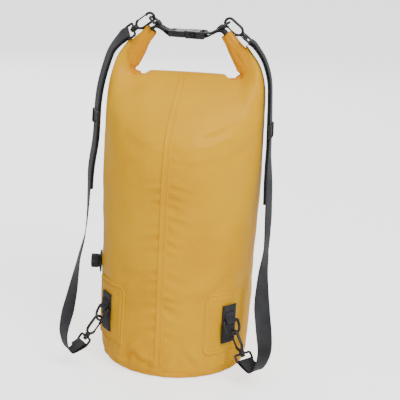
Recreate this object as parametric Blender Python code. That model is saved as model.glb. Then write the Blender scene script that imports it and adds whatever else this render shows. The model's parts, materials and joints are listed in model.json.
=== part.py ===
"""Roll-top dry bag, 20 litre class, with two clip-on webbing straps and an air valve.

Metres, +Z up. The origin is the centre of the base, on the ground. The back panel, which carries
the seam, patches and straps, faces -Y. The roll and its buckle lie along X.
Azimuths are in degrees from -Y, positive towards +X.
"""
import math

import bmesh
import bpy
from mathutils import Matrix, Vector

GAP = 0.0003                # space kept between touching pieces

# Bag
BAG_R = 0.115               # radius of the filled tube
WALL = 0.0024               # thickness of the body's wall
# Rings of the body: height, half width in X, half depth in Y, lift of the shoulders at the sides
BODY_RINGS = (
    (0.0143, 0.1135, 0.1135, 0.0),
    (0.030, 0.115, 0.115, 0.0),
    (0.110, 0.115, 0.115, 0.0),
    (0.200, 0.115, 0.115, 0.0),
    (0.300, 0.115, 0.115, 0.0),
    (0.330, 0.1155, 0.110, 0.002),
    (0.355, 0.1155, 0.099, 0.006),
    (0.374, 0.1145, 0.082, 0.013),
    (0.388, 0.112, 0.060, 0.021),
    (0.397, 0.109, 0.038, 0.029),
    (0.402, 0.105, 0.016, 0.037),
)
BODY_SIDES = 56
SHOULDER_START = 0.476      # the shoulders rise outside this part of a ring's half width
BASE_PROFILE = (            # radius and height of the base panel, from its underside round the rim
    (0.0500, 0.0000), (0.1035, 0.0000), (0.1085, 0.0012), (0.1118, 0.0050), (0.1132, 0.0100),
    (0.1135, 0.0140), (0.1111, 0.0140), (0.1108, 0.0100), (0.1098, 0.0065), (0.1075, 0.0036),
    (0.1030, 0.0024), (0.0500, 0.0024),
)
SEAM_AZ = -2.0
SEAM_W = 0.012
SEAM_Z = (0.032, 0.298)
SEAM_T = 0.0006

# Rolled mouth
ROLL_Z = 0.4165             # height of the roll's centre line between the bends
ROLL_FLAT = 0.064           # X where the roll starts to bend up
ROLL_BEND_R = 0.0215
ROLL_TURN = math.radians(127)
EAR_LENGTH = 0.045
ROLL_HALF_H = 0.013
ROLL_HALF_D = 0.009
EAR_HALF_H = 0.0065         # the same at an ear's tip
EAR_HALF_D = 0.007
STIFFENER_HALF_H = 0.0045
STIFFENER_HALF_D = 0.0009

# Webbing
WEB_W = 0.025
WEB_T = 0.0014
KEEPER_W = 0.019            # the narrower webbing that holds a ring
BAR_GAP = 0.0004            # between webbing and the bar it goes round

# Lower anchors
ANCHOR_AZ = 51.0
PATCH_W = 0.080
PATCH_Z = (0.040, 0.130)
PATCH_T = 0.0009
PATCH_CORNER = 0.012
TAB_Z = (0.053, 0.110)
RING_Z = 0.087
RING_WIRE_R = 0.0018
RING_HALF_W = 0.0135
RING_CORNER = 0.0022
RING_DROP = 0.020           # from the bar's centre line to the foot's
KEEPER_REACH = 0.012        # how far the loop's flat ends lie past the ring's bar
KEEPER_FOOT = 0.0025        # over which the loop comes down from the bar
TAB_R = BAG_R + PATCH_T + 2 * GAP
RING_BAR_R = TAB_R + WEB_T + BAR_GAP + RING_WIRE_R
RING_LEAN = math.radians(28)
HOOK_LEAN = math.radians(38)

# Snap hooks: heights are along the hook's own axis, from its strap bar
HOOK_WIRE_R = 0.0019
HOOK_EYE_R = 0.0064         # centre line of the hook's round head
HOOK_HEAD = 0.0405          # centre of the head
HOOK_THROAT = 0.0245        # where the two sides start to close
HOOK_FOOT = 0.0175
HOOK_STUB = 0.0235          # top of the short side that carries the gate
HOOK_NOSE = 25.0            # degrees that the head bends on past its widest point, towards the gate
GATE_TOP = 0.0367
GATE_R = 0.0015
GATE_GAP = 0.0009           # between the hook's stub and the gate
GATE_PIVOT = 0.0014         # the gate's spring, above the stub
STEM_PROFILE = (            # radius and height of the stem that turns in the socket, with its two flanges
    (0.0032, 0.0068), (0.0032, 0.0092), (0.0019, 0.0092), (0.0019, 0.0144),
    (0.0042, 0.0144), (0.0042, 0.0164), (0.0024, 0.0182),
)
SOCKET_R = 0.0044           # swivel socket on the strap bar's frame
SOCKET_Z = (0.0096, 0.0140)
SOCKET_BORE_R = 0.0024
FRAME_H = 0.0114            # from the strap bar to the frame's top bar
BASE_W = 0.033
BASE_CORNER = 0.0026
BAR_R = 0.0016
RING_SEAT = 0.0415          # where the ring's wire crosses the hook's axis

# Upper rings and hooks
UPPER_BAR = Vector((0.0460, 0.0, 0.4966))
UPPER_RING_DROP = 0.013
UPPER_RING_TILT = math.radians(35)
UPPER_HOOK_SLOPE = math.radians(38)
UPPER_KEEPER_REACH = 0.0052

# Closure buckle: the planes, in millimetres from its centre, that its walls, windows and bars lie between
BUCKLE_Z = 0.4845
FEMALE_X = (-3, 4, 12, 14, 17, 21.5, 24.5)
FEMALE_Y = (-17, -14.4, -13, 13, 14.4, 17)
FEMALE_Z = (-5.2, -3.2, -1.4, 1.4, 3.2, 5.2)
MALE_X = (-27, -24, -19.5, -3.6, 11)
MALE_Y = (-16.4, -13, -2.5, 2.5, 13, 16.4)
MALE_Z = (-4.4, -1.4, 1.4, 4.4)
ARM_X = (-2.9, 4.6, 10.8)
ARM_Y = (8, 11, 16.2)       # the arm's inner face, its outer face and the latch's outer face
ARM_Z = (-2.6, 2.6)
ARM_PIVOT = (-2.5, 9.5)
# Webbing tab from an ear's tip to the buckle: X and Z in millimetres, then the bar's X in each half
TAB_ROUTE = ((53.5, 487.7), (50.6, 490.7), (46.0, 492.5), (40.5, 491.3), (34.5, 488.0), (29.0, 485.4))
TAB_BAR_X = {"left": 0.0257, "right": 0.0232}
TAB_HALF_GAP = 0.0011       # from the middle of the tab to the middle of each layer
TAB_BAR_REACH = 0.0031      # the same where it goes round the buckle's bar
TAB_SPREAD = 0.010          # length over which the layers part

# Air valve: the profiles give radius from the valve's axis and distance from the bag's axis
VALVE_AZ = -80.0
VALVE_Z = 0.139
PORT_R = 0.0049
CAP_R = 0.0105
CAP_PITCH = 0.003
CAP_RIBS = 12
CAP_RIB_DEPTH = 0.0006
FLANGE_PROFILE = (
    (0.017, 0.1153), (0.017, 0.1166), (0.0076, 0.1172), (0.0076, 0.1215), (0.0049, 0.1215), (0.0049, 0.1153),
)
GASKET_PROFILE = ((0.0098, 0.1175), (0.0098, 0.1185), (0.0080, 0.1185), (0.0080, 0.1175))
STEM_R = 0.0046
STEM_ENDS = (0.1085, 0.1262)
CAP_SEAT = 0.1265           # where the cap's inner face turns on the stem
CAP_PROFILE = (
    (0.0030, 0.1300), (0.0092, 0.1300), (CAP_R, 0.1288), (CAP_R, 0.1196), (0.0098, 0.1188),
    (0.0080, 0.1188), (0.0080, CAP_SEAT), (0.0030, CAP_SEAT),
)

# Strap routes between the two hooks, bottom to top: distance from the bag's axis, azimuth, height,
# and the azimuth that the webbing's width points along. The left one is mirrored in X when built.
RIGHT_ROUTE = (
    (0.1710, 52.0, 0.0290, 143.0),
    (0.1760, 53.0, 0.0350, 143.0),
    (0.1785, 54.0, 0.0460, 141.0),
    (0.1770, 55.5, 0.0600, 134.0),
    (0.1690, 57.5, 0.0820, 122.0),
    (0.1580, 60.0, 0.1120, 122.0),
    (0.1480, 64.0, 0.1500, 150.0),
    (0.1420, 70.0, 0.1900, 170.0),
    (0.1360, 76.0, 0.2350, 164.0),
    (0.1300, 82.0, 0.2800, 166.0),
    (0.1258, 87.0, 0.3150, 176.0),
    (0.1250, 88.0, 0.3300, 178.0),
    (0.1245, 88.0, 0.3450, 178.0),
    (0.1240, 88.0, 0.3600, 178.0),
    (0.1235, 88.0, 0.3750, 178.0),
    (0.1220, 89.0, 0.4000, 180.0),
    (0.1190, 90.0, 0.4280, 180.0),
    (0.1100, 90.0, 0.4540, 180.0),
)
LEFT_ROUTE = (
    (0.1710, 52.0, 0.0290, 143.0),
    (0.1755, 53.0, 0.0350, 143.0),
    (0.1775, 54.0, 0.0460, 141.0),
    (0.1760, 55.5, 0.0600, 134.0),
    (0.1690, 57.5, 0.0820, 124.0),
    (0.1590, 61.0, 0.1120, 138.0),
    (0.1490, 66.0, 0.1500, 160.0),
    (0.1380, 71.0, 0.1900, 168.0),
    (0.1345, 76.0, 0.2350, 160.0),
    (0.1340, 82.0, 0.2800, 154.0),
    (0.1310, 87.0, 0.3150, 153.0),
    (0.1300, 88.0, 0.3300, 153.0),
    (0.1295, 88.0, 0.3450, 153.0),
    (0.1290, 88.0, 0.3600, 153.0),
    (0.1285, 88.0, 0.3750, 153.0),
    (0.1260, 89.0, 0.4000, 152.0),
    (0.1200, 90.0, 0.4280, 152.0),
    (0.1110, 90.0, 0.4540, 152.0),
)
BAR_EXIT = 0.009            # where the strap has left a hook's bar
LOW_EXIT_DIP = math.radians(25)
SLIDER_HEIGHT = 0.3525      # the slider's centre, on the straight part of the route
SLIDER_W = (0.0262, 0.0324) # inside and outside
SLIDER_Y = (-0.00065, 0.00065, 0.0029, 0.0046)  # faces of the middle bar, and of the outer bars
SLIDER_Z = (-0.0105, -0.0078, -0.0016, 0.0016, 0.0078, 0.0105)  # edges of the three bars
TAIL_END_Z = 0.250          # the strap's free end, below the slider
SEWN_LENGTH = 0.016         # webbing folded back beside the lower loop
LAYERS = 0.0036             # between the middles of the strap's two layers
LAYERS_AT_BAR = 2 * (BAR_R + BAR_GAP + WEB_T / 2)
LAYERS_SPREAD = 0.015       # length over which the layers part near a hook's bar
ROUTE_STEPS = 3             # ribbon sections for each stretch of a route
UPPER_BAR_TURN = {"left": 55, "right": 90}      # degrees that the upper strap bar has swivelled
UPPER_GATE_SIDE = {"left": -1, "right": 1}      # which side of the upper hook has the gate


# ---------------------------------------------------------------- making objects
def material(name, colour, roughness, metallic=0.0):
    """A plain Principled material, made once for each name."""
    if name in bpy.data.materials:
        return bpy.data.materials[name]
    new = bpy.data.materials.new(name)
    new.use_nodes = True
    shader = new.node_tree.nodes["Principled BSDF"]
    shader.inputs["Base Color"].default_value = (*colour, 1.0)
    shader.inputs["Roughness"].default_value = roughness
    shader.inputs["Metallic"].default_value = metallic
    return new


def fabric():
    return material("coated_fabric", (0.90, 0.56, 0.045), 0.42)


def webbing():
    return material("webbing", (0.022, 0.023, 0.026), 0.85)


def plastic():
    return material("black_plastic", (0.016, 0.017, 0.020), 0.38)


def rubber():
    return material("rubber", (0.03, 0.03, 0.03), 0.7)


def make(name, bm, look, origin=(0, 0, 0), mirrored=False, smooth=35):
    """Turn a bmesh in world coordinates into an object whose origin is at the given point."""
    origin = Vector(origin)
    if mirrored:
        bmesh.ops.scale(bm, vec=(-1, 1, 1), verts=bm.verts)
        origin.x = -origin.x
    bmesh.ops.recalc_face_normals(bm, faces=bm.faces)
    bmesh.ops.translate(bm, vec=-origin, verts=bm.verts)
    mesh = bpy.data.meshes.new(name)
    bm.to_mesh(mesh)
    bm.free()
    mesh.materials.append(look)
    mesh.shade_smooth()
    mesh.set_sharp_from_angle(angle=math.radians(smooth))
    thing = bpy.data.objects.new(name, mesh)
    thing.location = origin
    bpy.context.collection.objects.link(thing)
    return thing


def combine(thing, others, operation):
    """Join the others into an object, or cut them out of it, and remove them."""
    for other in others:
        boolean = thing.modifiers.new(operation.lower(), "BOOLEAN")
        boolean.operation = operation
        boolean.object = other
    bpy.context.view_layer.update()
    depsgraph = bpy.context.evaluated_depsgraph_get()
    result = bpy.data.meshes.new_from_object(thing.evaluated_get(depsgraph))
    thing.modifiers.clear()
    thing.data = result
    result.set_sharp_from_angle(angle=math.radians(35))
    for other in others:
        bpy.data.objects.remove(other, do_unlink=True)


# ---------------------------------------------------------------- shapes
def outward(azimuth):
    """The horizontal unit vector that points away from the bag's axis at an azimuth."""
    angle = math.radians(azimuth)
    return Vector((math.sin(angle), -math.cos(angle), 0.0))


def polar(radius, azimuth, height):
    return outward(azimuth) * radius + Vector((0, 0, height))


def ring_profile(radius, sides=8):
    turn = 2 * math.pi / sides
    return [(radius * math.cos(turn * (i + 0.5)), radius * math.sin(turn * (i + 0.5))) for i in range(sides)]


def slot_profile(half_w, half_h, sides=16, power=3.2):
    """A rounded rectangle, as a superellipse."""
    points = []
    for i in range(sides):
        angle = 2 * math.pi * (i + 0.5) / sides
        cos, sin = math.cos(angle), math.sin(angle)
        size = (abs(cos) ** power + abs(sin) ** power) ** (-1 / power)
        points.append((half_w * size * cos, half_h * size * sin))
    return points


def add_loop(bm, centre, across, up, profile):
    return [bm.verts.new(centre + across * u + up * v) for u, v in profile]


def join_loops(bm, first, second):
    count = len(first)
    for i in range(count):
        j = (i + 1) % count
        bm.faces.new((first[i], first[j], second[j], second[i]))


def sweep(bm, sections, profiles, closed=False):
    """Skin a profile along sections, each a centre with the two directions of the profile's plane."""
    loops = []
    for (centre, across, up), profile in zip(sections, profiles):
        loops.append(add_loop(bm, centre, across, up, profile))
    for first, second in zip(loops, loops[1:]):
        join_loops(bm, first, second)
    if closed:
        join_loops(bm, loops[-1], loops[0])
    else:
        bm.faces.new(reversed(loops[0]))
        bm.faces.new(loops[-1])
    return loops


def tangents(points, closed=False):
    count = len(points)
    result = []
    for i in range(count):
        before = points[i - 1] if closed or i > 0 else points[i]
        after = points[(i + 1) % count] if closed or i < count - 1 else points[i]
        result.append((after - before).normalized())
    return result


def wire(bm, points, normal, radius, closed=False, sides=8):
    """A round wire whose centre line lies in the plane with the given normal."""
    sections = []
    for point, tangent in zip(points, tangents(points, closed)):
        sections.append((point, tangent.cross(normal).normalized(), normal))
    profile = ring_profile(radius, sides)
    sweep(bm, sections, [profile] * len(points), closed)


def turned(bm, profile, centre, axis, segments=20):
    """A solid turned about an axis: the profile is (distance from the axis, height) from end to end."""
    axis = Vector(axis).normalized()
    across = axis.orthogonal().normalized()
    side = axis.cross(across)
    loops = []
    for radius, height in profile:
        loop = []
        for i in range(segments):
            angle = 2 * math.pi * i / segments
            spoke = across * math.cos(angle) + side * math.sin(angle)
            loop.append(bm.verts.new(Vector(centre) + axis * height + spoke * radius))
        loops.append(loop)
    for first, second in zip(loops, loops[1:]):
        join_loops(bm, first, second)
    return loops


def turned_solid(bm, profile, centre, axis, segments=20):
    loops = turned(bm, profile, centre, axis, segments)
    bm.faces.new(reversed(loops[0]))
    bm.faces.new(loops[-1])


def turned_ring(bm, profile, centre, axis, segments=20):
    loops = turned(bm, profile, centre, axis, segments)
    join_loops(bm, loops[-1], loops[0])


def arc(centre, radius, start, end, steps):
    """Points of an arc in a local X and Z plane, angles in degrees from +X towards +Z."""
    points = []
    for i in range(steps + 1):
        angle = math.radians(start + (end - start) * i / steps)
        points.append((centre[0] + radius * math.cos(angle), centre[1] + radius * math.sin(angle)))
    return points


def blocks(bm, xs, ys, zs, filled, place):
    """The outside of the filled cells of a grid of boxes, moved by a matrix."""
    corners = {}

    def corner(i, j, k):
        if (i, j, k) not in corners:
            corners[(i, j, k)] = bm.verts.new(place @ Vector((xs[i], ys[j], zs[k])))
        return corners[(i, j, k)]

    def full(i, j, k):
        inside = 0 <= i < len(xs) - 1 and 0 <= j < len(ys) - 1 and 0 <= k < len(zs) - 1
        return inside and filled(i, j, k)

    for i in range(len(xs) - 1):
        for j in range(len(ys) - 1):
            for k in range(len(zs) - 1):
                if not full(i, j, k):
                    continue
                for step in (0, 1):
                    shift = 2 * step - 1
                    if not full(i + shift, j, k):
                        a = i + step
                        bm.faces.new((corner(a, j, k), corner(a, j + 1, k),
                                      corner(a, j + 1, k + 1), corner(a, j, k + 1)))
                    if not full(i, j + shift, k):
                        a = j + step
                        bm.faces.new((corner(i, a, k), corner(i + 1, a, k),
                                      corner(i + 1, a, k + 1), corner(i, a, k + 1)))
                    if not full(i, j, k + shift):
                        a = k + step
                        bm.faces.new((corner(i, j, a), corner(i + 1, j, a),
                                      corner(i + 1, j + 1, a), corner(i, j + 1, a)))


def curved_plate(bm, azimuth, width, low, high, radius, thickness, corner=0.0, columns=10):
    """A plate bent round the bag, with rounded corners."""
    loops = []
    for i in range(columns + 1):
        u = width * (i / columns - 0.5)
        inset = 0.0
        past = abs(u) - (width / 2 - corner)
        if corner and past > 0:
            inset = corner - math.sqrt(max(corner ** 2 - past ** 2, 0.0))
            inset = min(inset, corner * 0.9)
        spoke = outward(azimuth + math.degrees(u / radius))
        loop = []
        for depth, height in ((0, low + inset), (thickness, low + inset),
                              (thickness, high - inset), (0, high - inset)):
            loop.append(bm.verts.new(spoke * (radius + depth) + Vector((0, 0, height))))
        loops.append(loop)
    for first, second in zip(loops, loops[1:]):
        join_loops(bm, first, second)
    bm.faces.new(reversed(loops[0]))
    bm.faces.new(loops[-1])


# ---------------------------------------------------------------- bag
def body_loop(bm, height, half_w, half_d, lift):
    loop = []
    for i in range(BODY_SIDES):
        angle = 2 * math.pi * (i + 0.5) / BODY_SIDES
        side = abs(math.cos(angle))
        rise = max((side - SHOULDER_START) / (1 - SHOULDER_START), 0.0) ** 4
        loop.append(bm.verts.new((half_w * math.cos(angle), half_d * math.sin(angle), height + lift * rise)))
    return loop


def close_flat(bm, loop):
    """Join the front half of a loop to its back half."""
    half = len(loop) // 2
    for i in range(half - 1):
        bm.faces.new((loop[i], loop[i + 1], loop[-2 - i], loop[-1 - i]))


def bag_body():
    bm = bmesh.new()
    outer = [body_loop(bm, *ring) for ring in BODY_RINGS]
    inner = []
    top = BODY_RINGS[-1][0]
    for height, half_w, half_d, lift in BODY_RINGS:
        drop = WALL * (height / top) ** 6
        inner.append(body_loop(bm, height - drop, half_w - WALL, half_d - WALL, lift))
    for loops in (outer, inner):
        for first, second in zip(loops, loops[1:]):
            join_loops(bm, first, second)
        close_flat(bm, loops[-1])
    inner[0].reverse()
    outer[0].reverse()
    join_loops(bm, outer[0], inner[0])
    body = make("bag_body", bm, fabric())
    cutter = bmesh.new()
    centre = polar(0.0, VALVE_AZ, VALVE_Z)
    turned_solid(cutter, [(PORT_R, BAG_R - 0.015), (PORT_R, BAG_R + 0.015)], centre, outward(VALVE_AZ), 16)
    combine(body, [make("port_cutter", cutter, fabric())], "DIFFERENCE")


def bag_base():
    bm = bmesh.new()
    turned_solid(bm, BASE_PROFILE, (0, 0, 0), (0, 0, 1), BODY_SIDES)
    make("bag_base", bm, fabric())


def back_seam_strip():
    bm = bmesh.new()
    curved_plate(bm, SEAM_AZ, SEAM_W, *SEAM_Z, BAG_R + GAP, SEAM_T, columns=3)
    make("back_seam_strip", bm, fabric())


# ---------------------------------------------------------------- rolled mouth
def roll_path():
    """The roll's centre line from its left ear to its right one, as (point, how far up the ear)."""
    half = [(Vector((ROLL_FLAT * i / 3, 0, ROLL_Z)), 0.0) for i in range(3)]
    for i in range(9):
        angle = ROLL_TURN * i / 8 - math.pi / 2
        x = ROLL_FLAT + ROLL_BEND_R * math.cos(angle)
        z = ROLL_Z + ROLL_BEND_R + ROLL_BEND_R * math.sin(angle)
        half.append((Vector((x, 0, z)), 0.0))
    start = half[-1][0]
    along = Vector((math.cos(ROLL_TURN), 0, math.sin(ROLL_TURN)))
    for i in range(1, 5):
        half.append((start + along * EAR_LENGTH * i / 4, i / 4))
    left = [(Vector((-point.x, 0, point.z)), part) for point, part in reversed(half[1:])]
    return left + half


def roll_sections(path):
    points = [point for point, part in path]
    y_axis = Vector((0, 1, 0))
    return [(point, y_axis.cross(tangent), y_axis) for point, tangent in zip(points, tangents(points))]


def roll_closure():
    path = roll_path()
    outer_profiles = []
    for point, part in path:
        half_h = ROLL_HALF_H + (EAR_HALF_H - ROLL_HALF_H) * part
        half_d = ROLL_HALF_D + (EAR_HALF_D - ROLL_HALF_D) * part
        outer_profiles.append(slot_profile(half_h, half_d))
    slot = slot_profile(STIFFENER_HALF_H + GAP, STIFFENER_HALF_D + GAP)
    bm = bmesh.new()
    sections = roll_sections(path)
    outer = [add_loop(bm, *section, profile) for section, profile in zip(sections, outer_profiles)]
    inner = [add_loop(bm, *section, slot) for section in sections]
    for loops in (outer, inner):
        for first, second in zip(loops, loops[1:]):
            join_loops(bm, first, second)
    join_loops(bm, outer[0], inner[0])
    join_loops(bm, outer[-1], inner[-1])
    make("roll_closure", bm, fabric())


def mouth_stiffener():
    bm = bmesh.new()
    sections = roll_sections(roll_path())
    profile = slot_profile(STIFFENER_HALF_H, STIFFENER_HALF_D, 16)
    sweep(bm, sections, [profile] * len(sections))
    make("mouth_stiffener", bm, plastic())


# ---------------------------------------------------------------- webbing ribbons
def ribbon(bm, centres, widths, width, thickness=WEB_T):
    """A webbing strip along its centre line, with the direction of its width at each point."""
    profile = ((-width / 2, -thickness / 2), (width / 2, -thickness / 2),
               (width / 2, thickness / 2), (-width / 2, thickness / 2))
    sections = []
    for centre, tangent, across in zip(centres, tangents(centres), widths):
        up = tangent.cross(across).normalized()
        sections.append((centre, up.cross(tangent).normalized(), up))
    sweep(bm, sections, [profile] * len(sections))


def half_turn(centre, start, through, radius, steps=6):
    """Points of a half circle from centre + start, by way of centre + through."""
    points = []
    for i in range(1, steps):
        angle = math.pi * i / steps
        points.append(centre + (start * math.cos(angle) + through * math.sin(angle)) * radius)
    return points


# ---------------------------------------------------------------- lower anchors
def ring_hang():
    """The direction in which a lower ring hangs from its bar."""
    return outward(ANCHOR_AZ) * math.sin(RING_LEAN) - Vector((0, 0, math.cos(RING_LEAN)))


def ring_wire(bm, bar, along, down, drop):
    """A D-shaped ring: a straight bar, two short sides and a round foot."""
    outline = []
    reach = RING_HALF_W - RING_CORNER
    for centre, start in (((-reach, -RING_CORNER), 180), ((reach, -RING_CORNER), 90)):
        outline += arc(centre, RING_CORNER, start, start - 90, 3)
    side = drop * 0.35
    for i in range(13):
        angle = math.pi * i / 12
        outline.append((RING_HALF_W * math.cos(angle), -side - (drop - side) * math.sin(angle) ** 0.8))
    points = [bar + along * u - down * v for u, v in outline]
    wire(bm, points, along.cross(down).normalized(), RING_WIRE_R, closed=True)


def keeper_path(bar, out, along, reach):
    """A loop of webbing that lies flat, rises over a ring's bar and lies flat again."""
    radius = RING_WIRE_R + BAR_GAP + WEB_T / 2
    flat = out * (GAP + WEB_T / 2 - RING_WIRE_R - BAR_GAP)
    foot = radius + KEEPER_FOOT
    points = [bar + flat + along * reach, bar + flat + along * foot]
    points.append(bar + along * radius)
    points += half_turn(bar, along, out, radius)
    points.append(bar - along * radius)
    points.append(bar + flat - along * foot)
    points.append(bar + flat - along * reach)
    return points


def lower_anchor(side, mirrored):
    out = outward(ANCHOR_AZ)
    round_bag = outward(ANCHOR_AZ + 90)
    bm = bmesh.new()
    curved_plate(bm, ANCHOR_AZ, PATCH_W, *PATCH_Z, BAG_R + GAP, PATCH_T, PATCH_CORNER, 16)
    make("patch_" + side, bm, fabric(), mirrored=mirrored)
    bm = bmesh.new()
    curved_plate(bm, ANCHOR_AZ, WEB_W, *TAB_Z, TAB_R, WEB_T, columns=4)
    make("tab_" + side, bm, webbing(), mirrored=mirrored)
    bar = polar(RING_BAR_R, ANCHOR_AZ, RING_Z)
    bm = bmesh.new()
    path = keeper_path(bar, out, Vector((0, 0, 1)), KEEPER_REACH)
    ribbon(bm, path, [round_bag] * len(path), KEEPER_W)
    make("ring_loop_" + side, bm, webbing(), mirrored=mirrored)
    bm = bmesh.new()
    ring_wire(bm, bar, round_bag, ring_hang(), RING_DROP)
    make("ring_" + side, bm, plastic(), bar, mirrored)


# ---------------------------------------------------------------- snap hooks
def frame_matrix(origin, axis, across):
    """A matrix whose Z runs along the axis and whose X is as near as it can be to across."""
    z = axis.normalized()
    x = (across - z * across.dot(z)).normalized()
    y = z.cross(x)
    turn = Matrix((x, y, z)).transposed().to_4x4()
    return Matrix.Translation(origin) @ turn


def lower_hook_frame():
    seat = polar(RING_BAR_R, ANCHOR_AZ, RING_Z) + ring_hang() * RING_DROP
    axis = Vector((0, 0, math.cos(HOOK_LEAN))) - outward(ANCHOR_AZ) * math.sin(HOOK_LEAN)
    return frame_matrix(seat - axis * RING_SEAT, axis, outward(ANCHOR_AZ))


def upper_hook_frame():
    hang = Vector((math.cos(UPPER_RING_TILT), 0, math.sin(UPPER_RING_TILT)))
    axis = Vector((-math.cos(UPPER_HOOK_SLOPE), 0, math.sin(UPPER_HOOK_SLOPE)))
    seat = UPPER_BAR + hang * UPPER_RING_DROP
    return frame_matrix(seat - axis * RING_SEAT, axis, Vector((0, 0, 1)))


def local_points(place, outline):
    return [place @ Vector((u, 0, v)) for u, v in outline]


def direction(place, x, y, z):
    return (place.to_3x3() @ Vector((x, y, z))).normalized()


def snap_hook(name, place, gate_side, mirrored):
    """The swivelling hook, with its stem and collar, and its sprung gate."""
    normal = direction(place, 0, 1, 0)
    axis = direction(place, 0, 0, 1)
    origin = place.translation
    outline = [(-x, z) for x, z in arc((0, HOOK_HEAD), HOOK_EYE_R, -HOOK_NOSE, 180, 12)]
    outline += [(HOOK_EYE_R, (HOOK_HEAD + HOOK_THROAT) / 2), (HOOK_EYE_R, HOOK_THROAT)]
    outline += [(HOOK_EYE_R * 0.9, HOOK_THROAT - 0.0025), (HOOK_EYE_R * 0.55, HOOK_FOOT + 0.0012)]
    outline += [(0.0, HOOK_FOOT), (-HOOK_EYE_R * 0.55, HOOK_FOOT + 0.0012)]
    outline += [(-HOOK_EYE_R * 0.92, HOOK_STUB - 0.0018), (-HOOK_EYE_R, HOOK_STUB)]
    outline = [(x * gate_side, z) for x, z in outline]
    bm = bmesh.new()
    wire(bm, local_points(place, outline), normal, HOOK_WIRE_R)
    hook = make(name + "_hook", bm, plastic(), origin, mirrored)
    bm = bmesh.new()
    turned_solid(bm, STEM_PROFILE, origin, axis, 16)
    combine(hook, [make(name + "_stem", bm, plastic(), origin, mirrored)], "UNION")
    x = -HOOK_EYE_R * gate_side
    pivot = place @ Vector((x, 0, HOOK_STUB + GATE_PIVOT))
    bm = bmesh.new()
    gate = [(x, HOOK_STUB + GATE_GAP), (x, (HOOK_STUB + GATE_TOP) / 2), (x, GATE_TOP)]
    wire(bm, local_points(place, gate), normal, GATE_R)
    make(name + "_gate", bm, plastic(), pivot, mirrored)


def hook_base(name, place, mirrored):
    """The frame that the strap loops through, with the swivel's socket on it."""
    half = BASE_W / 2 - BAR_R - BASE_CORNER
    top = FRAME_H - BASE_CORNER
    outline = []
    for x, z, start in ((half, BASE_CORNER, -90), (half, top, 0),
                        (-half, top, 90), (-half, BASE_CORNER, 180)):
        outline += arc((x, z), BASE_CORNER, start, start + 90, 2)
    bm = bmesh.new()
    wire(bm, local_points(place, outline), direction(place, 0, 1, 0), BAR_R, closed=True)
    base = make(name + "_base", bm, plastic(), place.translation, mirrored)
    axis = direction(place, 0, 0, 1)
    bm = bmesh.new()
    low, high = SOCKET_Z
    turned_solid(bm, [(SOCKET_R, low), (SOCKET_R, high)], place.translation, axis, 16)
    socket = make(name + "_socket", bm, plastic(), place.translation, mirrored)
    combine(base, [socket], "UNION")
    bm = bmesh.new()
    ends = [(SOCKET_BORE_R, low - 0.003), (SOCKET_BORE_R, high + 0.003)]
    turned_solid(bm, ends, place.translation, axis, 12)
    bore = make(name + "_bore", bm, plastic(), place.translation, mirrored)
    combine(base, [bore], "DIFFERENCE")


# ---------------------------------------------------------------- straps
def smooth_route(points, widths):
    """A Catmull-Rom curve through the route, with the width's direction at each of its points."""
    line = []
    for i in range(len(points) - 1):
        p0 = points[max(i - 1, 0)]
        p1, p2 = points[i], points[i + 1]
        p3 = points[min(i + 2, len(points) - 1)]
        for step in range(ROUTE_STEPS):
            t = step / ROUTE_STEPS
            point = 0.5 * (2 * p1 + (p2 - p0) * t + (2 * p0 - 5 * p1 + 4 * p2 - p3) * t ** 2
                           + (3 * p1 - 3 * p2 + p3 - p0) * t ** 3)
            line.append((point, widths[i].lerp(widths[i + 1], t).normalized()))
    line.append((points[-1], widths[-1]))
    return line


def strap_line(route, low, high):
    """The middle of the strap's two layers, from the lower hook's bar to the upper one's."""
    away = outward(ANCHOR_AZ) * math.cos(LOW_EXIT_DIP) - Vector((0, 0, math.sin(LOW_EXIT_DIP)))
    low_width = direction(low, 1, 0, 0)
    high_width = direction(high, 1, 0, 0)
    high_away = -direction(high, 0, 0, 1)
    points = [low.translation, low.translation + away * BAR_EXIT]
    widths = [low_width, low_width]
    for radius, azimuth, height, facing in route:
        points.append(polar(radius, azimuth, height))
        widths.append(outward(facing))
    points += [high.translation + high_away * BAR_EXIT, high.translation]
    widths += [high_width, high_width]
    return smooth_route(points, widths)


def strap_layers(line):
    """The outer and inner layers' points, spread apart near the hooks' bars."""
    points = [point for point, width in line]
    outer, inner = [], []
    for point, tangent, (centre, width) in zip(points, tangents(points), line):
        normal = tangent.cross(width).normalized()
        nearest = min((point - points[0]).length, (point - points[-1]).length)
        part = min(nearest / LAYERS_SPREAD, 1.0)
        half = (LAYERS_AT_BAR + (LAYERS - LAYERS_AT_BAR) * part) / 2
        outer.append(point - normal * half)
        inner.append(point + normal * half)
    return outer, inner


def strap(side, route, low, high, mirrored):
    line = strap_line(route, low, high)
    outer, inner = strap_layers(line)
    widths = [width for point, width in line]
    count = len(line)
    sewn = [i for i in range(count) if (line[i][0] - line[0][0]).length < SEWN_LENGTH]
    tail = [i for i in range(count) if line[i][0].z > TAIL_END_Z or i > count // 2]
    radius = LAYERS_AT_BAR / 2
    centres = [inner[i] for i in reversed(sewn)]
    across = [widths[i] for i in reversed(sewn)]
    first_in = (inner[0] - line[0][0]).normalized()
    first_back = (line[0][0] - line[1][0]).normalized()
    bend = half_turn(line[0][0], first_in, first_back, radius)
    centres += bend + outer
    across += [widths[0]] * len(bend) + widths
    last_out = (outer[-1] - line[-1][0]).normalized()
    last_on = (line[-1][0] - line[-2][0]).normalized()
    bend = half_turn(line[-1][0], last_out, last_on, radius)
    centres += bend + [inner[i] for i in reversed(tail)]
    across += [widths[-1]] * len(bend) + [widths[i] for i in reversed(tail)]
    bm = bmesh.new()
    ribbon(bm, centres, across, WEB_W)
    make("strap_" + side, bm, webbing(), mirrored=mirrored)
    slider(side, line, mirrored)


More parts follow.
